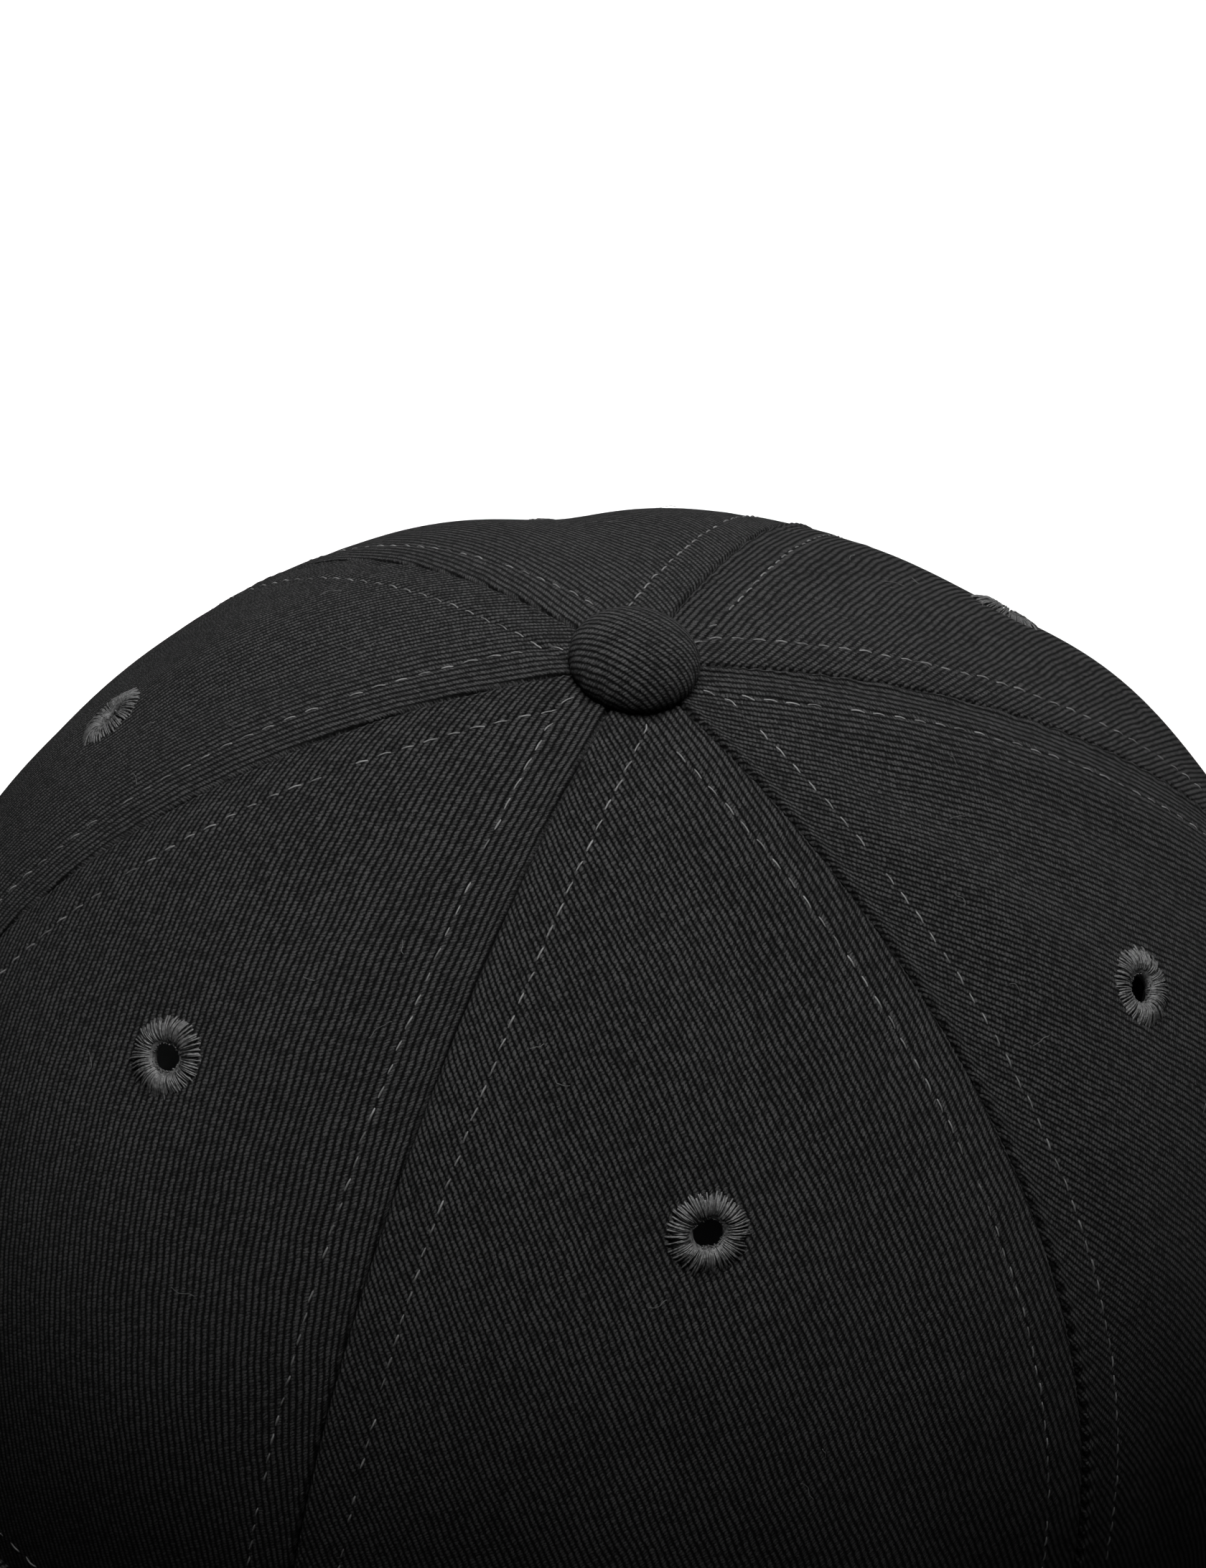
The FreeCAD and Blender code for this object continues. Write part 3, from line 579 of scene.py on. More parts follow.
def make_panel(name):
    panel = Panel(name)
    start, end = round_len(panel.first), round_len(panel.last)
    shares = panel_columns(end - start)
    azimuths = np.interp(start + shares * (end - start), ROUND_LEN, ROUND_AZ)
    top = np.interp(PANEL_TOP, panel.down, DOWN_FALL)
    bottoms = fall_at(edge_height(azimuths))
    length = panel.down[-1] - PANEL_TOP
    rows = int(length / (0.38 * MM))
    even = np.interp(np.linspace(PANEL_TOP, panel.down[-1], rows), panel.down, DOWN_FALL)
    progress = (even - top) / (1 - top)
    falls = top + progress[:, None] * (bottoms[None] - top)
    azimuth_grid = np.broadcast_to(azimuths, falls.shape)
    verts = panel.point(azimuth_grid, falls).reshape(-1, 3)
    uv = panel.uv(azimuth_grid, falls).reshape(-1, 2)
    faces = grid_faces(rows, len(azimuths))[:, ::-1]
    centres = verts[faces].mean(1)
    keep = np.linalg.norm(centres - panel.eyelet, axis=1) > HOLE_RADIUS
    if name.startswith("back"):
        keep &= centres[:, 2] > opening_height_at(centres[:, 0], 1.2 * MM)
    used, faces = np.unique(faces[keep], return_inverse=True)
    verts, uv = verts[used], uv[used]
    near = np.linalg.norm(verts - panel.eyelet, axis=1)
    ring = near < HOLE_RADIUS * 1.25
    away = (verts[ring] - panel.eyelet) / near[ring][:, None]
    verts[ring] = panel.eyelet + away * np.maximum(near[ring], HOLE_RADIUS * 1.05)[:, None]
    obj = new_object(name + "_cloth", verts, faces.reshape(-1, 4).tolist(), TWILL, "cap")
    set_uv(obj, *uv.T)
    solidify(obj, CLOTH)
    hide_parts(name)
    area = panel.flat_area()
    if name.startswith("back"):
        area -= BACK_CUT
    return panel


def follow(panel, side, distance, spacing):
    """Even points down a line beside a seam, and the normals there. Rows draw in towards the apex."""
    falls = np.linspace(0.04, 1, 1100)
    size = scale_at(falls)
    width = size * (round_len(panel.last) - round_len(panel.first))
    distance = np.minimum(distance, (0.47 if side == 0 else 0.40) * width)
    azimuths = panel.azimuth_at(side, distance, falls)
    bottoms = fall_at(edge_height(azimuths))
    base = crown(azimuths, falls)
    keep = falls < bottoms - 0.004
    down = np.interp(falls, DOWN_FALL, panel.down)
    keep &= down > (8.6 if side == 0 else 13.0) * MM
    if panel.name.startswith("back"):
        keep &= base[:, 2] > opening_height_at(base[:, 0], 8 * MM) + 0.5 * MM
    azimuths, falls = azimuths[keep], falls[keep]
    return resample(panel.point(azimuths, falls), crown_normal(azimuths, falls), spacing)


def resample(points, normals, spacing):
    """Points and normals at an even spacing along a line."""
    length = lengths(points)
    at = np.arange(0, length[-1], spacing)
    return sample(at, length, points), sample(at, length, normals)


STITCH_SAMPLES = 8           # points of the guide line per stitch
STITCH_STEP = STITCH_PITCH / STITCH_SAMPLES
STITCH_HEIGHTS = np.array([-0.25, -0.02, 0.08, 0.12, 0.08, -0.02, -0.25]) * MM


def stitch_tubes(points, normals, radius=0.115 * MM):
    """A row of stitches along a guide line: each rises out of the cloth, lies along it and dives back in."""
    count = len(points) // STITCH_SAMPLES
    index = np.arange(count)[:, None] * STITCH_SAMPLES + np.arange(len(STITCH_HEIGHTS))[None]
    index = np.clip(index, 0, len(points) - 1)
    lay = rng.normal(0, 0.07 * MM, (count, 1))
    sunk = (rng.uniform(-0.07, 0.04, (count, 1, 1)) - 0.3 * (rng.random((count, 1, 1)) < 0.05)) * MM
    paths = points[index] + normals[index] * (STITCH_HEIGHTS[None, :, None] + sunk)
    sideways = unit(np.cross(np.gradient(paths, axis=1), normals[index]))
    slant = np.linspace(-1, 1, len(STITCH_HEIGHTS))[None, :, None]
    slant = slant * rng.uniform(0.04, 0.16, (count, 1, 1)) * MM
    paths = paths + sideways * (lay[:, :, None] + slant)
    thick = radius * (1 + rng.uniform(-0.25, 0.12, (count, 1)))
    return tubes(paths, normals[index], np.broadcast_to(thick, paths.shape[:2]))


def add_thread(name, rows, body):
    new_object(name, *merge(rows), THREAD, body)


panels = {panel_name: make_panel(panel_name) for panel_name in PANELS}
rows_of_thread = []
for panel in panels.values():
    for side in (0, 1):
        rows_of_thread.append(stitch_tubes(*follow(panel, side, STITCH_LINE, STITCH_STEP)))
add_thread("crown_topstitching", rows_of_thread, "cap")


# ---- lint

def make_lint(count=44):
    """Short pale fibres that cling to the cloth."""
    paths, normals = [], []
    names = list(panels)
    for _ in range(count):
        panel = panels[names[rng.integers(len(names))]]
        azimuth = rng.uniform(panel.first + 0.1, panel.last - 0.1)
        fall = rng.uniform(0.25, 0.8)
        heading = rng.uniform(0, 2 * np.pi)
        step = rng.uniform(0.05, 0.16) * MM * 2
        headings = heading + np.cumsum(rng.normal(0, 0.28, 12))
        azimuths = azimuth + np.cumsum(np.cos(headings)) * step / (80 * MM * math.sin(fall * math.pi / 2))
        falls = fall + np.cumsum(np.sin(headings)) * step / (150 * MM)
        above = 0.16 * MM * (1 + np.sin(np.linspace(0, np.pi, 12) * rng.uniform(0.6, 2.0)))
        paths.append(panel.point(azimuths, falls, above))
        normals.append(crown_normal(azimuths, falls))
    tubes_of_lint = tubes(np.array(paths), np.array(normals), 0.028 * MM, sides=4)
    lint = new_object("lint_fibres", *tubes_of_lint, LINT, "cap")


make_lint()


# ---- eyelets

def make_eyelet(name, panel, strands=124):
    """An embroidered eyelet: satin stitches from the hole over a padded ring into the cloth."""
    azimuth, fall = panel.eyelet_azimuth, panel.eyelet_fall
    normal = crown_normal(azimuth, fall)
    centre = panel.point(np.array(azimuth), np.array(fall))
    side = crown(azimuth + 0.01, fall) - crown(azimuth - 0.01, fall)
    side -= normal * side.dot(normal)
    side /= np.linalg.norm(side)
    up = np.cross(normal, side)

    def place(radius, turn, height):
        sag = -radius ** 2 / (2 * 85 * MM)
        flat = np.cos(turn)[..., None] * side + np.sin(turn)[..., None] * up
        return centre + flat * radius[..., None] + normal * (height + sag)[..., None]

    parts = []
    for face, outer_radius, lift in ((1, 5.0, 0.0), (-1, 4.4, -CLOTH)):
        turns = (np.arange(strands) + rng.uniform(-0.3, 0.3, strands)) / strands * 2 * np.pi
        outer = (outer_radius + rng.normal(0, 0.26, strands)) * MM
        inner = (1.9 + 0.14 * np.sin(turns * 2 + 1.0) + rng.normal(0, 0.11, strands)) * MM
        share = np.array([0, 0.07, 0.2, 0.4, 0.6, 0.8, 0.93, 1.0])
        height = np.array([-0.6, 0.0, 0.48, 0.68, 0.60, 0.32, 0.04, -0.25]) * MM
        radii = inner[:, None] + (outer - inner)[:, None] * share[None]
        drift = rng.normal(0, 0.045, (strands, 1)) * share[None]
        stand = 1 + rng.uniform(-0.16, 0.2, (strands, 1))
        points = place(radii, turns[:, None] + drift, lift + face * height[None] * stand)
        thick = (0.095 + 0.055 * share)[None] * MM * rng.uniform(0.7, 1.15, (strands, 1))
        normals = np.broadcast_to(normal * face, points.shape)
        parts.append(tubes(points, normals, thick, sides=5))
    turn = np.linspace(0, 2 * np.pi, 49)[:-1]
    section = np.array([(1.95, -1.0), (1.8, -0.2), (2.1, 0.25), (3.0, 0.4), (4.1, 0.15), (4.4, -0.25),
                        (4.1, -0.75), (3.0, -0.95)]) * MM
    count, points = 48, len(section)
    ring = place(*np.broadcast_arrays(section[:, 0], turn[:, None], section[:, 1]))
    a = np.arange(count)[:, None] * points + np.arange(points)
    b, d = np.roll(a, -1, 1), np.roll(a, -1, 0)
    quads = np.stack([a, d, np.roll(b, -1, 0), b], -1).reshape(-1, 4).tolist()
    parts.append((ring.reshape(-1, 3), quads))
    obj = new_object(name + "_embroidery", *merge(parts), EMBROIDERY, "cap")
    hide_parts(name)


for panel_name, panel in panels.items():
    place_name, _, hand = panel_name.split("_")
    make_eyelet("eyelet_%s_%s" % (place_name, hand), panel)


# ---- button

def make_button():
    """A domed, twill-covered button: its cloth is gathered under the rim."""
    low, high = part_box("button_cover")
    radius = (high.x - low.x) / 2
    tall = high.z - low.z
    centre = np.array([(low.x + high.x) / 2, (low.y + high.y) / 2, low.z])
    rim = [(0.0, 1.0), (0.2, 0.993), (0.38, 0.968), (0.54, 0.922), (0.68, 0.85), (0.8, 0.75), (0.89, 0.635),
           (0.955, 0.50), (0.99, 0.36), (1.0, 0.23), (0.985, 0.11), (0.95, 0.03), (0.88, -0.01)]
    rim = np.array(rim)
    count = 120
    at = np.linspace(0, len(rim) - 1, 46)
    profile_r = np.interp(at, range(len(rim)), rim[:, 0])[1:]
    profile_z = np.interp(at, range(len(rim)), rim[:, 1])[1:]
    turn = np.arange(count) / count * 2 * np.pi
    gather = 0.012 * np.sin(turn * 17 + 0.6 * np.sin(turn * 3)) + 0.008 * np.sin(turn * 29 + 1.0)
    uneven = 0.012 * np.sin(turn * 2 + 0.7) + 0.008 * np.sin(turn * 3 + 2.0)
    fade = smoothstep(0.8, 1.0, profile_r)[:, None]
    r = radius * (profile_r[:, None] * (1 + uneven[None] * 0.6) + gather[None] * fade * 0.8)
    z = tall * profile_z[:, None] * (1 + uneven[None] * 0.5)
    verts = np.stack([centre[0] + r * np.cos(turn), centre[1] + r * np.sin(turn), centre[2] + z + 0 * r], -1)
    unrolled = profile_r[0] * radius + lengths(np.stack([profile_r * radius, profile_z * tall], 1))
    flat_x, flat_y = unrolled[:, None] * np.cos(turn), unrolled[:, None] * np.sin(turn)
    faces = grid_faces(len(profile_r), count, closed=True)[:, ::-1].tolist()
    verts = verts.reshape(-1, 3)
    top = len(verts)
    verts = np.vstack([verts, centre + [0, 0, tall]])
    faces += [(top, (i + 1) % count, i)[::-1] for i in range(count)]
    obj = new_object("button_cover_cloth", verts, faces, BUTTON_TWILL, "cap")
    set_uv(obj, np.append(flat_x, 0), np.append(flat_y, 0))
    solidify(obj, 0.5 * MM)
    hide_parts("button_cover")


make_button()


# ---- rows of stitches on any guide line

def runs(keep):
    """Start and end of each unbroken run of True."""
    padded = np.concatenate([[False], keep, [False]])
    change = np.flatnonzero(padded[1:] != padded[:-1])
    return change.reshape(-1, 2)


def stitched(points, normals, keep=None, radius=0.12 * MM):
    """Rows of stitches along a guide line, one for each part of it that is kept."""
    keep = np.ones(len(points), bool) if keep is None else keep
    made = []
    for first, last in runs(keep):
        if last - first > 8:
            line, line_normals = resample(points[first:last], normals[first:last], STITCH_STEP)
            if len(line) > 3 * STITCH_SAMPLES:
                made.append(stitch_tubes(line, line_normals, radius))
    return made


def edge_row(height, above=0.0):
    """A guide line round the crown above its lower edge, and what the back opening leaves of it."""
    azimuth = np.linspace(-math.pi, math.pi, 3000)
    fall = fall_at(edge_height(azimuth) + height)
    points = crown(azimuth, fall)
    normal = crown_normal(azimuth, fall)
    keep = (points[:, 1] < 0) | (points[:, 2] > opening_height_at(points[:, 0], 9 * MM))
    return points + normal * above, normal, keep


# ---- seam tapes inside the crown

TAPE_HALF = 7.5 * MM
TAPE_TOP = 4.5 * MM
TAPES = {
    "seam_tape_front": (0.0, 49.0), "seam_tape_back": (math.pi, 62.5),
    "seam_tape_front_left": (SIDE_SEAM, 34.0), "seam_tape_front_right": (-SIDE_SEAM, 34.0),
    "seam_tape_back_left": (BACK_SEAM, 34.0), "seam_tape_back_right": (-BACK_SEAM, 34.0),
}


def make_tape(name):
    """A woven tape over a seam, raised in the middle by the seam under it and sewn down near both edges."""
    azimuth, foot = TAPES[name]
    down = down_table(azimuth)
    foot_down = np.interp(float(fall_at(foot * MM)), DOWN_FALL, down)
    falls = np.interp(np.linspace(TAPE_TOP, foot_down, int((foot_down - TAPE_TOP) / MM)), down, DOWN_FALL)
    downs = np.interp(falls, DOWN_FALL, down)
    half = np.clip((downs - TAPE_TOP) * 0.52 + 0.5 * MM, 0.5 * MM, TAPE_HALF)
    edge = np.linspace(0.6, 1, 8)[1:]
    share = np.concatenate([-edge[::-1], np.linspace(-0.6, 0.6, 25), edge])
    across = share[None] * half[:, None]
    length = round_len(azimuth) + across / scale_at(falls)[:, None]
    length = np.where(length > ROUND_LEN[-1], length - ROUND_LEN[-1] + ROUND_LEN[0], length)
    turned = np.interp(length, ROUND_LEN, ROUND_AZ)
    fall_grid = np.broadcast_to(falls[:, None], turned.shape)
    raised = 1.15 * MM * np.exp(-(across / (3.1 * MM)) ** 2)
    sewn = 0.12 * MM * bump(np.abs(across), STITCH_LINE, 0.5 * MM)
    ripple = 0.10 * MM * np.sin(downs / (2.3 * MM))[:, None] * np.exp(-(across / (4 * MM)) ** 2)
    inset = 0.8 * MM + raised - sewn + ripple
    points = crown(turned, fall_grid, 0)
    normal = crown_normal(turned, fall_grid)
    verts = points - normal * inset[..., None]
    obj = grid_object(name + "_woven", verts, TAPE)
    set_uv(obj, across, downs[:, None])
    solidify(obj, 0.35 * MM)
    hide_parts(name)
    made = []
    for side in (-1, 1):
        column = np.argmin(np.abs(share - side * STITCH_LINE / TAPE_HALF))
        line = verts[:, column] - normal[:, column] * 0.36 * MM
        made += stitched(line, -normal[:, column], downs > 17 * MM)
    return made


tape_rows = []
for tape_name in TAPES:
    tape_rows += make_tape(tape_name)
add_thread("tape_stitching", tape_rows, "cap")


# ---- visor

VISOR_ROWS = 5.0 * MM + 7.3 * MM * np.arange(8)


def outline():
    """The visor's outer edge in plan, from its left corner round the nose to its right, and its normals."""
    share = np.linspace(1, 0, 60)[:-1]
    side_x = VISOR_HALF - VISOR_NARROWING * share ** 2
    side_y = VISOR_WIDEST + (VISOR_CORNER - VISOR_WIDEST) * share
    turn = np.linspace(0, np.pi / 2, 400)
    power = 2 / VISOR_NOSE_POWER
    front_x = VISOR_HALF * np.cos(turn) ** power
    front_y = VISOR_WIDEST + (-CROWN_FRONT - VISOR_REACH - VISOR_WIDEST) * np.sin(turn) ** power
    left = np.stack([np.append(side_x, front_x), np.append(side_y, front_y)], 1)
    whole = np.concatenate([left, left[-2::-1] * [-1, 1]])
    length = lengths(whole)
    points = sample(np.linspace(0, length[-1], 900), length, whole)
    tangent = np.gradient(points, axis=0)
    for k in (0, 1):
        tangent[4:-4, k] = np.convolve(tangent[:, k], np.ones(9) / 9, "valid")
    tangent = unit(tangent)
    normals = np.stack([-tangent[:, 1], tangent[:, 0]], 1)
    return points, -normals if normals[len(points) // 2, 1] > 0 else normals


OUTLINE, OUTLINE_NORMALS = outline()


def from_edge(points):
    """Distance in plan from the visor's outer edge."""
    flat = points.reshape(-1, 2)
    near = np.empty(len(flat))
    for i in range(0, len(flat), 4000):
        gap = flat[i:i + 4000, None] - OUTLINE[None]
        near[i:i + 4000] = np.sqrt((gap ** 2).sum(-1).min(1))
    return near.reshape(points.shape[:-1])


def visor_normal(x, y):
    step = 0.2 * MM
    dx = (visor_middle(x + step, y) - visor_middle(x - step, y)) / (2 * step)
    dy = (visor_middle(x, y + step) - visor_middle(x, y - step)) / (2 * step)
    return unit(np.stack([-dx, -dy, np.ones_like(dx)], -1))


def rear_line(count):
    """The crown's lower edge in plan, tucked in, between the visor's corners."""
    azimuths = np.linspace(0, np.pi / 2, 2000)
    edge = crown(azimuths, 1.0, VISOR_TUCK)
    last = azimuths[edge[:, 1] < VISOR_CORNER][-1]
    return crown(np.linspace(last, -last, count), 1.0, VISOR_TUCK)[:, :2]


def quilting(distance):
    """Shallow channels along the rows of stitching, with the cloth standing between them."""
    lift = np.zeros_like(distance)
    for row in VISOR_ROWS:
        lift -= 0.20 * MM * bump(distance, row, 0.7 * MM)
    return lift


def make_visor_cover(name, face):
    """One cloth face of the visor. The upper one rolls over the edge; the lower one turns up behind."""
    columns = 300
    pick = np.linspace(0, len(OUTLINE) - 1, columns).round().astype(int)
    outer, normals = OUTLINE[pick], OUTLINE_NORMALS[pick]
    rear = rear_line(columns)
    span = np.linalg.norm(outer - rear, axis=1)
    roll = np.minimum(VISOR_HALF_THICK, 0.45 * span)
    inner = outer - normals * roll[:, None]
    share = np.linspace(0, 1, 84)
    plan = rear[None] + (inner - rear)[None] * share[:, None, None]
    rise = np.full(plan.shape[:2], VISOR_HALF_THICK)
    lift = quilting(from_edge(plan)) * smoothstep(0, 6 * MM, span)[None]
    stop = -50 if face > 0 else 55
    arc = np.radians(np.linspace(90, stop, 11 if face > 0 else 5))[1:]
    tuck = 1 if face > 0 else 0.93
    arc_plan = inner[None] + normals[None] * (roll[None] * np.cos(arc)[:, None])[..., None] * tuck
    arc_rise = np.broadcast_to(VISOR_HALF_THICK * np.sin(arc)[:, None], arc_plan.shape[:2])
    plans, rises, lifts = [plan, arc_plan], [rise, arc_rise], [lift, np.zeros(arc_plan.shape[:2])]
    if face < 0:
        into = -unit(rear)
        back = [(0.55, -0.80), (0.75, -0.3), (0.75, 0.5), (0.45, 0.9)]
        plans.insert(0, np.stack([rear + into * b * MM for b, _ in back]))
        rises.insert(0, np.stack([np.full(columns, r * VISOR_HALF_THICK) for _, r in back]))
        lifts.insert(0, np.zeros((len(back), columns)))
    plan, rise, lift = np.concatenate(plans), np.concatenate(rises), np.concatenate(lifts)
    x, y = plan[..., 0], plan[..., 1]
    z = visor_middle(x, y) + face * (rise + lift)
    obj = grid_object(name + "_cloth", np.stack([x, y, z], -1), TWILL, flip=face < 0)
    set_uv(obj, x, -y)
    solidify(obj, 0.6 * MM)
    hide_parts(name)
    abs(OUTLINE[:, 1].min()) + VISOR_CORNER


def visor_stitches():
    made = []
    for row in VISOR_ROWS:
        plan = OUTLINE - OUTLINE_NORMALS * row
        radius = np.hypot(plan[:, 0], plan[:, 1] - APEX_Y)
        azimuth = np.arctan2(plan[:, 0], -(plan[:, 1] - APEX_Y))
        edge = crown(azimuth, 1.0)
        reach = np.hypot(edge[:, 0], edge[:, 1] - APEX_Y)
        keep = (radius > reach + 0.8 * MM) & (from_edge(plan) > row * 0.985) & (plan[:, 1] < VISOR_CORNER)
        normal = visor_normal(plan[:, 0], plan[:, 1])
        middle = np.concatenate([plan, visor_middle(plan[:, 0], plan[:, 1])[:, None]], 1)
        thick = VISOR_HALF_THICK - 0.20 * MM
        made += stitched(middle + normal * thick, normal, keep)
        made += stitched(middle - normal * thick, -normal, keep)
    return made


make_visor_cover("visor_top_cover", 1)
make_visor_cover("visor_under_cover", -1)
add_thread("visor_topstitching", visor_stitches(), "cap")


# ---- sweatband

BAND_THICK = 0.9 * MM
# how far inside the crown's face and how high above its lower edge: pocket side, turned foot, inner side, top
BAND_SECTION = [(1.62, 3.4), (1.58, 2.2), (1.62, 1.3), (1.95, 0.72), (2.9, 0.52), (3.85, 0.72), (4.3, 1.3),
                (4.48, 2.4), (4.5, 4.0)]
BAND_TOP = 32.4


def back_azimuth(x, fall, inset=0.0):
    """The azimuth on the back's left half where the crown is at this x, by halving."""
    x = np.asarray(x, float)
    low, high = np.full(x.shape, np.pi / 2), np.full(x.shape, np.pi)
    for _ in range(40):
        middle = (low + high) / 2
        beyond = crown(middle, fall, inset)[..., 0] > x
        low, high = np.where(beyond, middle, low), np.where(beyond, high, middle)
    return (low + high) / 2


def opening_half_at(height, margin):
    """Half the opening's width at a height."""
    rise = np.clip(height / (OPENING_HEIGHT + margin), 0, 1) ** (1 / OPENING_POWER)
    return (OPENING_HALF + margin) * np.sqrt(1 - rise ** 2)


def make_sweatband():
    """A folded strip sewn to the crown's lower edge and turned up inside, open at the back."""
    section = BAND_SECTION + [(4.5 + 0.03 * math.sin(h), h) for h in np.arange(5.0, BAND_TOP, 1.0)]
    insets = np.array([i for i, _ in section]) * MM
    heights = np.array([h for _, h in section]) * MM
    share = np.linspace(-1, 1, 521)
    verts = np.empty((len(section), len(share), 3))
    for row, (inset, height) in enumerate(zip(insets, heights)):
        fall = float(fall_at(height, inset))
        end = float(back_azimuth(float(opening_half_at(height, 0.9 * MM)), fall, inset))
        azimuth = share * end
        rise = height + edge_height(azimuth)
        ease = 0.10 * MM * np.sin(azimuth * 23 + 1.0) * smoothstep(12 * MM, 30 * MM, height)
        sewn = 0.22 * MM * (bump(height, 30.4 * MM, 0.8 * MM) + bump(height, 5.0 * MM, 0.9 * MM))
        verts[row] = crown(azimuth, fall_at(rise, inset), inset + ease - sewn)
    obj = grid_object("sweatband_cloth", verts, BAND)
    along = lengths(verts[len(section) // 2])
    climb = lengths(np.stack([insets, heights], 1))
    set_uv(obj, along[None], climb[:, None])
    solidify(obj, BAND_THICK).offset = 0
    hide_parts("sweatband")
    made = []
    for height in (30.4 * MM, 5.0 * MM):
        for side in (1, -1):
            inset = 4.5 * MM - 0.22 * MM + side * BAND_THICK / 2
            end = opening_half_at(height, 2.5 * MM)
            end = float(back_azimuth(float(end), float(fall_at(height, inset)), inset))
            azimuth = np.linspace(-end, end, 2400)
            fall = fall_at(height + edge_height(azimuth), inset)
            made += stitched(crown(azimuth, fall, inset), crown_normal(azimuth, fall) * -side)
    return made


band_rows = make_sweatband()
band_rows += stitched(*edge_row(5.5 * MM, above=0.02 * MM))
add_thread("edge_stitching", band_rows, "cap")


# ---- binding round the back opening

# millimetres beyond the opening's edge and inside the crown's face, from the outer hem round to the inner one
BINDING_SECTION = [(7.9, 0.0), (7.8, -0.30), (7.3, -0.34), (6.8, -0.26), (6.3, -0.34), (5, -0.36),
                   (3.6, -0.36), (2.4, -0.34), (1.7, -0.26), (1.1, -0.34), (0.5, -0.32), (0.05, -0.2),
                   (-0.2, 0.1), (-0.25, 0.45), (0.0, 0.85), (0.6, 1.0), (2, 1.02), (4, 1.02), (6, 1.02),
                   (7.4, 1.0), (7.8, 0.9)]


def opening_points(turn, margin, inset):
    """Points round the half-moon opening. turn runs from 0 at its left foot over the top to pi."""
    half = np.minimum(turn, np.pi - turn)
    x = (OPENING_HALF + margin) * np.cos(half)
    z = (OPENING_HEIGHT + margin) * np.sin(half) ** OPENING_POWER
    fall = fall_at(z, inset)
    azimuth = back_azimuth(x, fall, inset)
    azimuth = np.where(turn > np.pi / 2, -azimuth, azimuth)
    return crown(azimuth, fall, inset), crown_normal(azimuth, fall)


def make_binding():
    """A folded twill strip that wraps the edge of the half-moon opening, with two rows of stitching."""
    turn = np.linspace(0, np.pi, 281)
    lines = np.stack([opening_points(turn, m * MM, i * MM)[0] for m, i in BINDING_SECTION])
    obj = grid_object("arch_binding_cloth", lines, TWILL)
    along = lengths(lines[5])
    across = lengths(np.array(BINDING_SECTION))
    set_uv(obj, along[None], across[:, None] * MM)
    solidify(obj, 0.28 * MM)
    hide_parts("arch_binding")
    made = []
    fine = np.linspace(0.03, np.pi - 0.03, 2600)
    for margin in (6.8 * MM, 1.7 * MM):
        for depth, side in ((-0.30 * MM, 1), (1.0 * MM, -1)):
            line, normal = opening_points(fine, margin, depth)
            made += stitched(line, normal * side)
    return made


add_thread("binding_stitching", make_binding(), "cap")


# ---- closure

def at_closure(turn, radius, height):
    """A point of the closure. turn is from the back to the wearer's right, radius is at the strap's foot."""
    lean = STRAP_LEAN * (height - STRAP_LOW) / STRAP_HEIGHT
    r = radius - lean
    return np.stack(np.broadcast_arrays(-r * np.sin(turn), CLOSURE_Y + r * np.cos(turn), height), -1)


def band_section(half_thick, low, high, rows):
    """A flat band's cross-section: soft edges, fuller in the middle and drawn in along its stitches."""
    heights = np.array([0.25, 0.7, 1.2, 1.6, 1.9, 2.2, 2.6, 3.2, 4.2, 6.0, 8.0, 10.0])
    heights = np.concatenate([heights, 20 - heights[-2::-1]]) * (high - low) / 20
    stand = np.full(len(heights), half_thick / MM)
    for row in rows:
        stand -= 0.13 * bump(heights / MM, row, 0.45)
    stand[[0, -1]] *= 0.75
    outer = np.stack([stand * MM, low + heights], 1)
    inner = np.stack([-stand[::-1] * MM, low + heights[::-1]], 1)
    lip, gap = 0.3 * half_thick, 0.02 * MM
    top = [[lip, high - gap], [-lip, high - gap]]
    foot = [[-lip, low + gap], [lip, low + gap]]
    return np.concatenate([outer, top, inner, foot])


def make_band(name, node, body, first, last, radius, half_thick, rows):
    """A cloth band bent round the closure's axis, with rows of stitching on both faces."""
    low, high = STRAP_LOW, STRAP_LOW + STRAP_HEIGHT
    section = band_section(half_thick, low, high, rows)
    count = int(abs(last - first) * radius / (0.9 * MM)) + 2
    turns = np.linspace(first, last, count)
    lines = at_closure(turns[:, None], radius + section[None, :, 0], section[None, :, 1])
    obj = new_object(name, *sweep_section(lines), TWILL, body)
    set_uv(obj, (turns * radius)[:, None], lengths(section)[None])
    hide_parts(node)
    made = []
    fine = np.linspace(turns[0], turns[-1], 1500)[15:-15]
    for row in rows:
        for side in (1, -1):
            at = radius + side * (half_thick - 0.12 * MM)
            line = at_closure(fine, at, np.full(len(fine), low + row * MM))
            normal = np.stack([-np.sin(fine), np.cos(fine), np.zeros(len(fine))], 1) * side
            made += stitched(line, normal, radius=0.14 * MM)
    add_thread(name + "_stitching", made, body)


STRAP_HALF_THICK = 0.45 * MM
PLATE_MIDDLE = STRAP_RADIUS - STRAP_HALF_THICK - 0.3 * MM - 0.3 * MM
make_band("closure_strap_cloth", "closure_strap", "strap", math.radians(-52), math.radians(52), STRAP_RADIUS,
          STRAP_HALF_THICK, (1.9, 18.1))
make_band("clasp_tab_cloth", "clasp_tab", "cap", math.radians(27.6), math.radians(50), PLATE_MIDDLE,
          0.3 * MM, (1.9, 18.1))


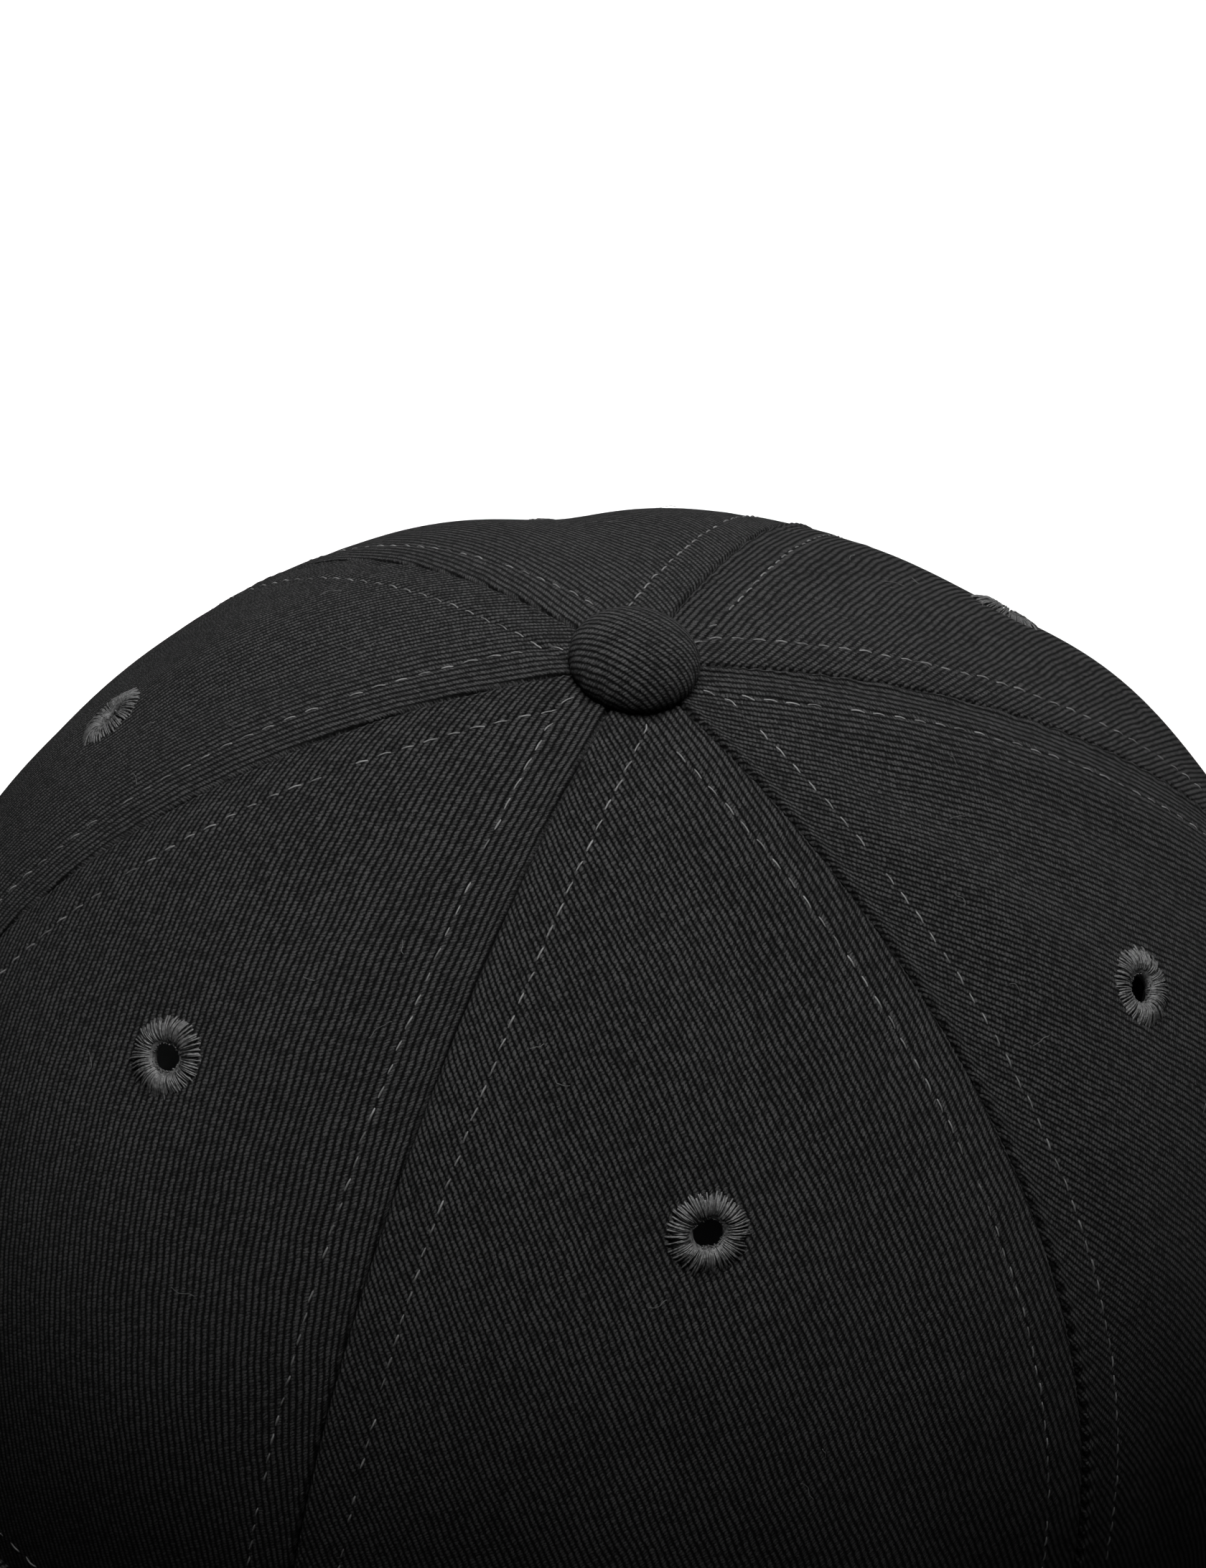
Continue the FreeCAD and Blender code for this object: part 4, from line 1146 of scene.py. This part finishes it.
def metal_copy(node, body, width):
    """The CAD shape with its sharp edges broken, in dark plated metal."""
    source = bpy.data.objects[node]
    obj = bpy.data.objects.new(node + "_plated", source.data.copy())
    obj.matrix_world = source.matrix_world
    obj.data.materials.clear()
    obj.data.materials.append(CLASP_METAL)
    bpy.context.scene.collection.objects.link(obj)
    weld = obj.modifiers.new("weld", "WELD")
    weld.merge_threshold = 0.001 * MM
    edge = obj.modifiers.new("edge", "BEVEL")
    edge.width = width
    edge.segments = 2
    edge.limit_method = "ANGLE"
    edge.angle_limit = math.radians(40)
    edge.use_clamp_overlap = True
    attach(obj, body)
    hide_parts(node)


def paint(node, material):
    """Gives a CAD node a material."""
    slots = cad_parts[node].data.materials
    slots.clear()
    slots.append(material)


metal_copy("clasp_frame", "cap", 0.14 * MM)
metal_copy("clasp_lever", "lever", 0.14 * MM)
paint("clasp_pin", CLASP_METAL)
paint("button_shell", TACK_METAL)
paint("button_tack", TACK_METAL)
paint("visor_board", BOARD)


# ---- camera

CAMERA_AZIMUTH = math.radians(72.988)
CAMERA_HEIGHT = math.radians(45.458)
CAMERA_ROLL = math.radians(8.587)
CAMERA_DISTANCE = 527.91 * MM
CAMERA_AIM = (-3.279 * MM, -11.671 * MM, 120.92 * MM)
LENS = 99.60


def make_camera():
    away = Vector((math.sin(CAMERA_AZIMUTH) * math.cos(CAMERA_HEIGHT),
                   -math.cos(CAMERA_AZIMUTH) * math.cos(CAMERA_HEIGHT), math.sin(CAMERA_HEIGHT)))
    right = (-away).cross(Vector((0, 0, 1))).normalized()
    up = right.cross(-away)
    turned_right = math.cos(CAMERA_ROLL) * right + math.sin(CAMERA_ROLL) * up
    turned_up = -math.sin(CAMERA_ROLL) * right + math.cos(CAMERA_ROLL) * up
    target = Vector((0, APEX_Y, CAMERA_AIM[2])) + turned_right * CAMERA_AIM[0] + turned_up * CAMERA_AIM[1]
    data = bpy.data.cameras.new("camera")
    data.lens = LENS
    data.sensor_width = 36
    data.sensor_fit = "AUTO"
    camera = bpy.data.objects.new("camera", data)
    basis = Matrix((turned_right, turned_up, away)).transposed().to_4x4()
    camera.matrix_world = Matrix.Translation(target + away * CAMERA_DISTANCE) @ basis
    bpy.context.scene.collection.objects.link(camera)
    bpy.context.scene.camera = camera


make_camera()


# ---- lights and floor

def area_light(name, at, aim, size, power):
    data = bpy.data.lights.new(name, "AREA")
    data.shape = "RECTANGLE"
    data.size, data.size_y = size
    data.energy = power
    light = bpy.data.objects.new(name, data)
    light.location = at
    light.rotation_euler = (Vector(aim) - Vector(at)).to_track_quat("-Z", "Y").to_euler()
    bpy.context.scene.collection.objects.link(light)


def make_backdrop():
    """A white floor and a closed white sky round it, which light nothing."""
    n = Nodes("backdrop_paper")
    away = n.add("VectorMath", "Value", {0: n.add("TexCoord", "Object")}, operation="LENGTH")
    paper = n.surface({"Base Color": n.mix(n.noise(3.0), grey(0.88), grey(0.9)), "Roughness": 0.9,
                       "Emission Color": grey(1), "Emission Strength": n.ramp(away, 0.0, 0.9, 0.16, 1.1)})
    reach = tall = 7.0
    corners = [(-reach, -reach), (reach, -reach), (reach, reach), (-reach, reach)]
    verts = [(x, y, z) for z in (0.0, tall) for x, y in corners]
    walls = [(i + 4, (i + 1) % 4 + 4, (i + 1) % 4, i) for i in range(4)]
    mesh = bpy.data.meshes.new("backdrop")
    mesh.from_pydata(verts, [], [(0, 1, 2, 3), (7, 6, 5, 4)] + walls)
    mesh.materials.append(paper)
    backdrop = bpy.data.objects.new("backdrop", mesh)
    backdrop.visible_diffuse = backdrop.visible_glossy = backdrop.visible_shadow = False
    bpy.context.scene.collection.objects.link(backdrop)


make_backdrop()
area_light("key", (-0.03, -0.04, 0.75), (0, 0, 0.06), (0.42, 0.42), 10.4)
area_light("behind", (-0.9, 1.3, 0.3), (0, 0, 0.04), (1.0, 0.5), 4)
area_light("far side", (-1.6, 0.1, 0.25), (0, 0, 0.04), (1.0, 0.5), 2.4)
world = bpy.data.worlds.new("studio")
world.use_nodes = True
ambient = world.node_tree.nodes["Background"].inputs
ambient[0].default_value = (1, 1, 1, 1)
ambient[1].default_value = 0.016
bpy.context.scene.world = world
bpy.context.scene.view_settings.view_transform = "Standard"
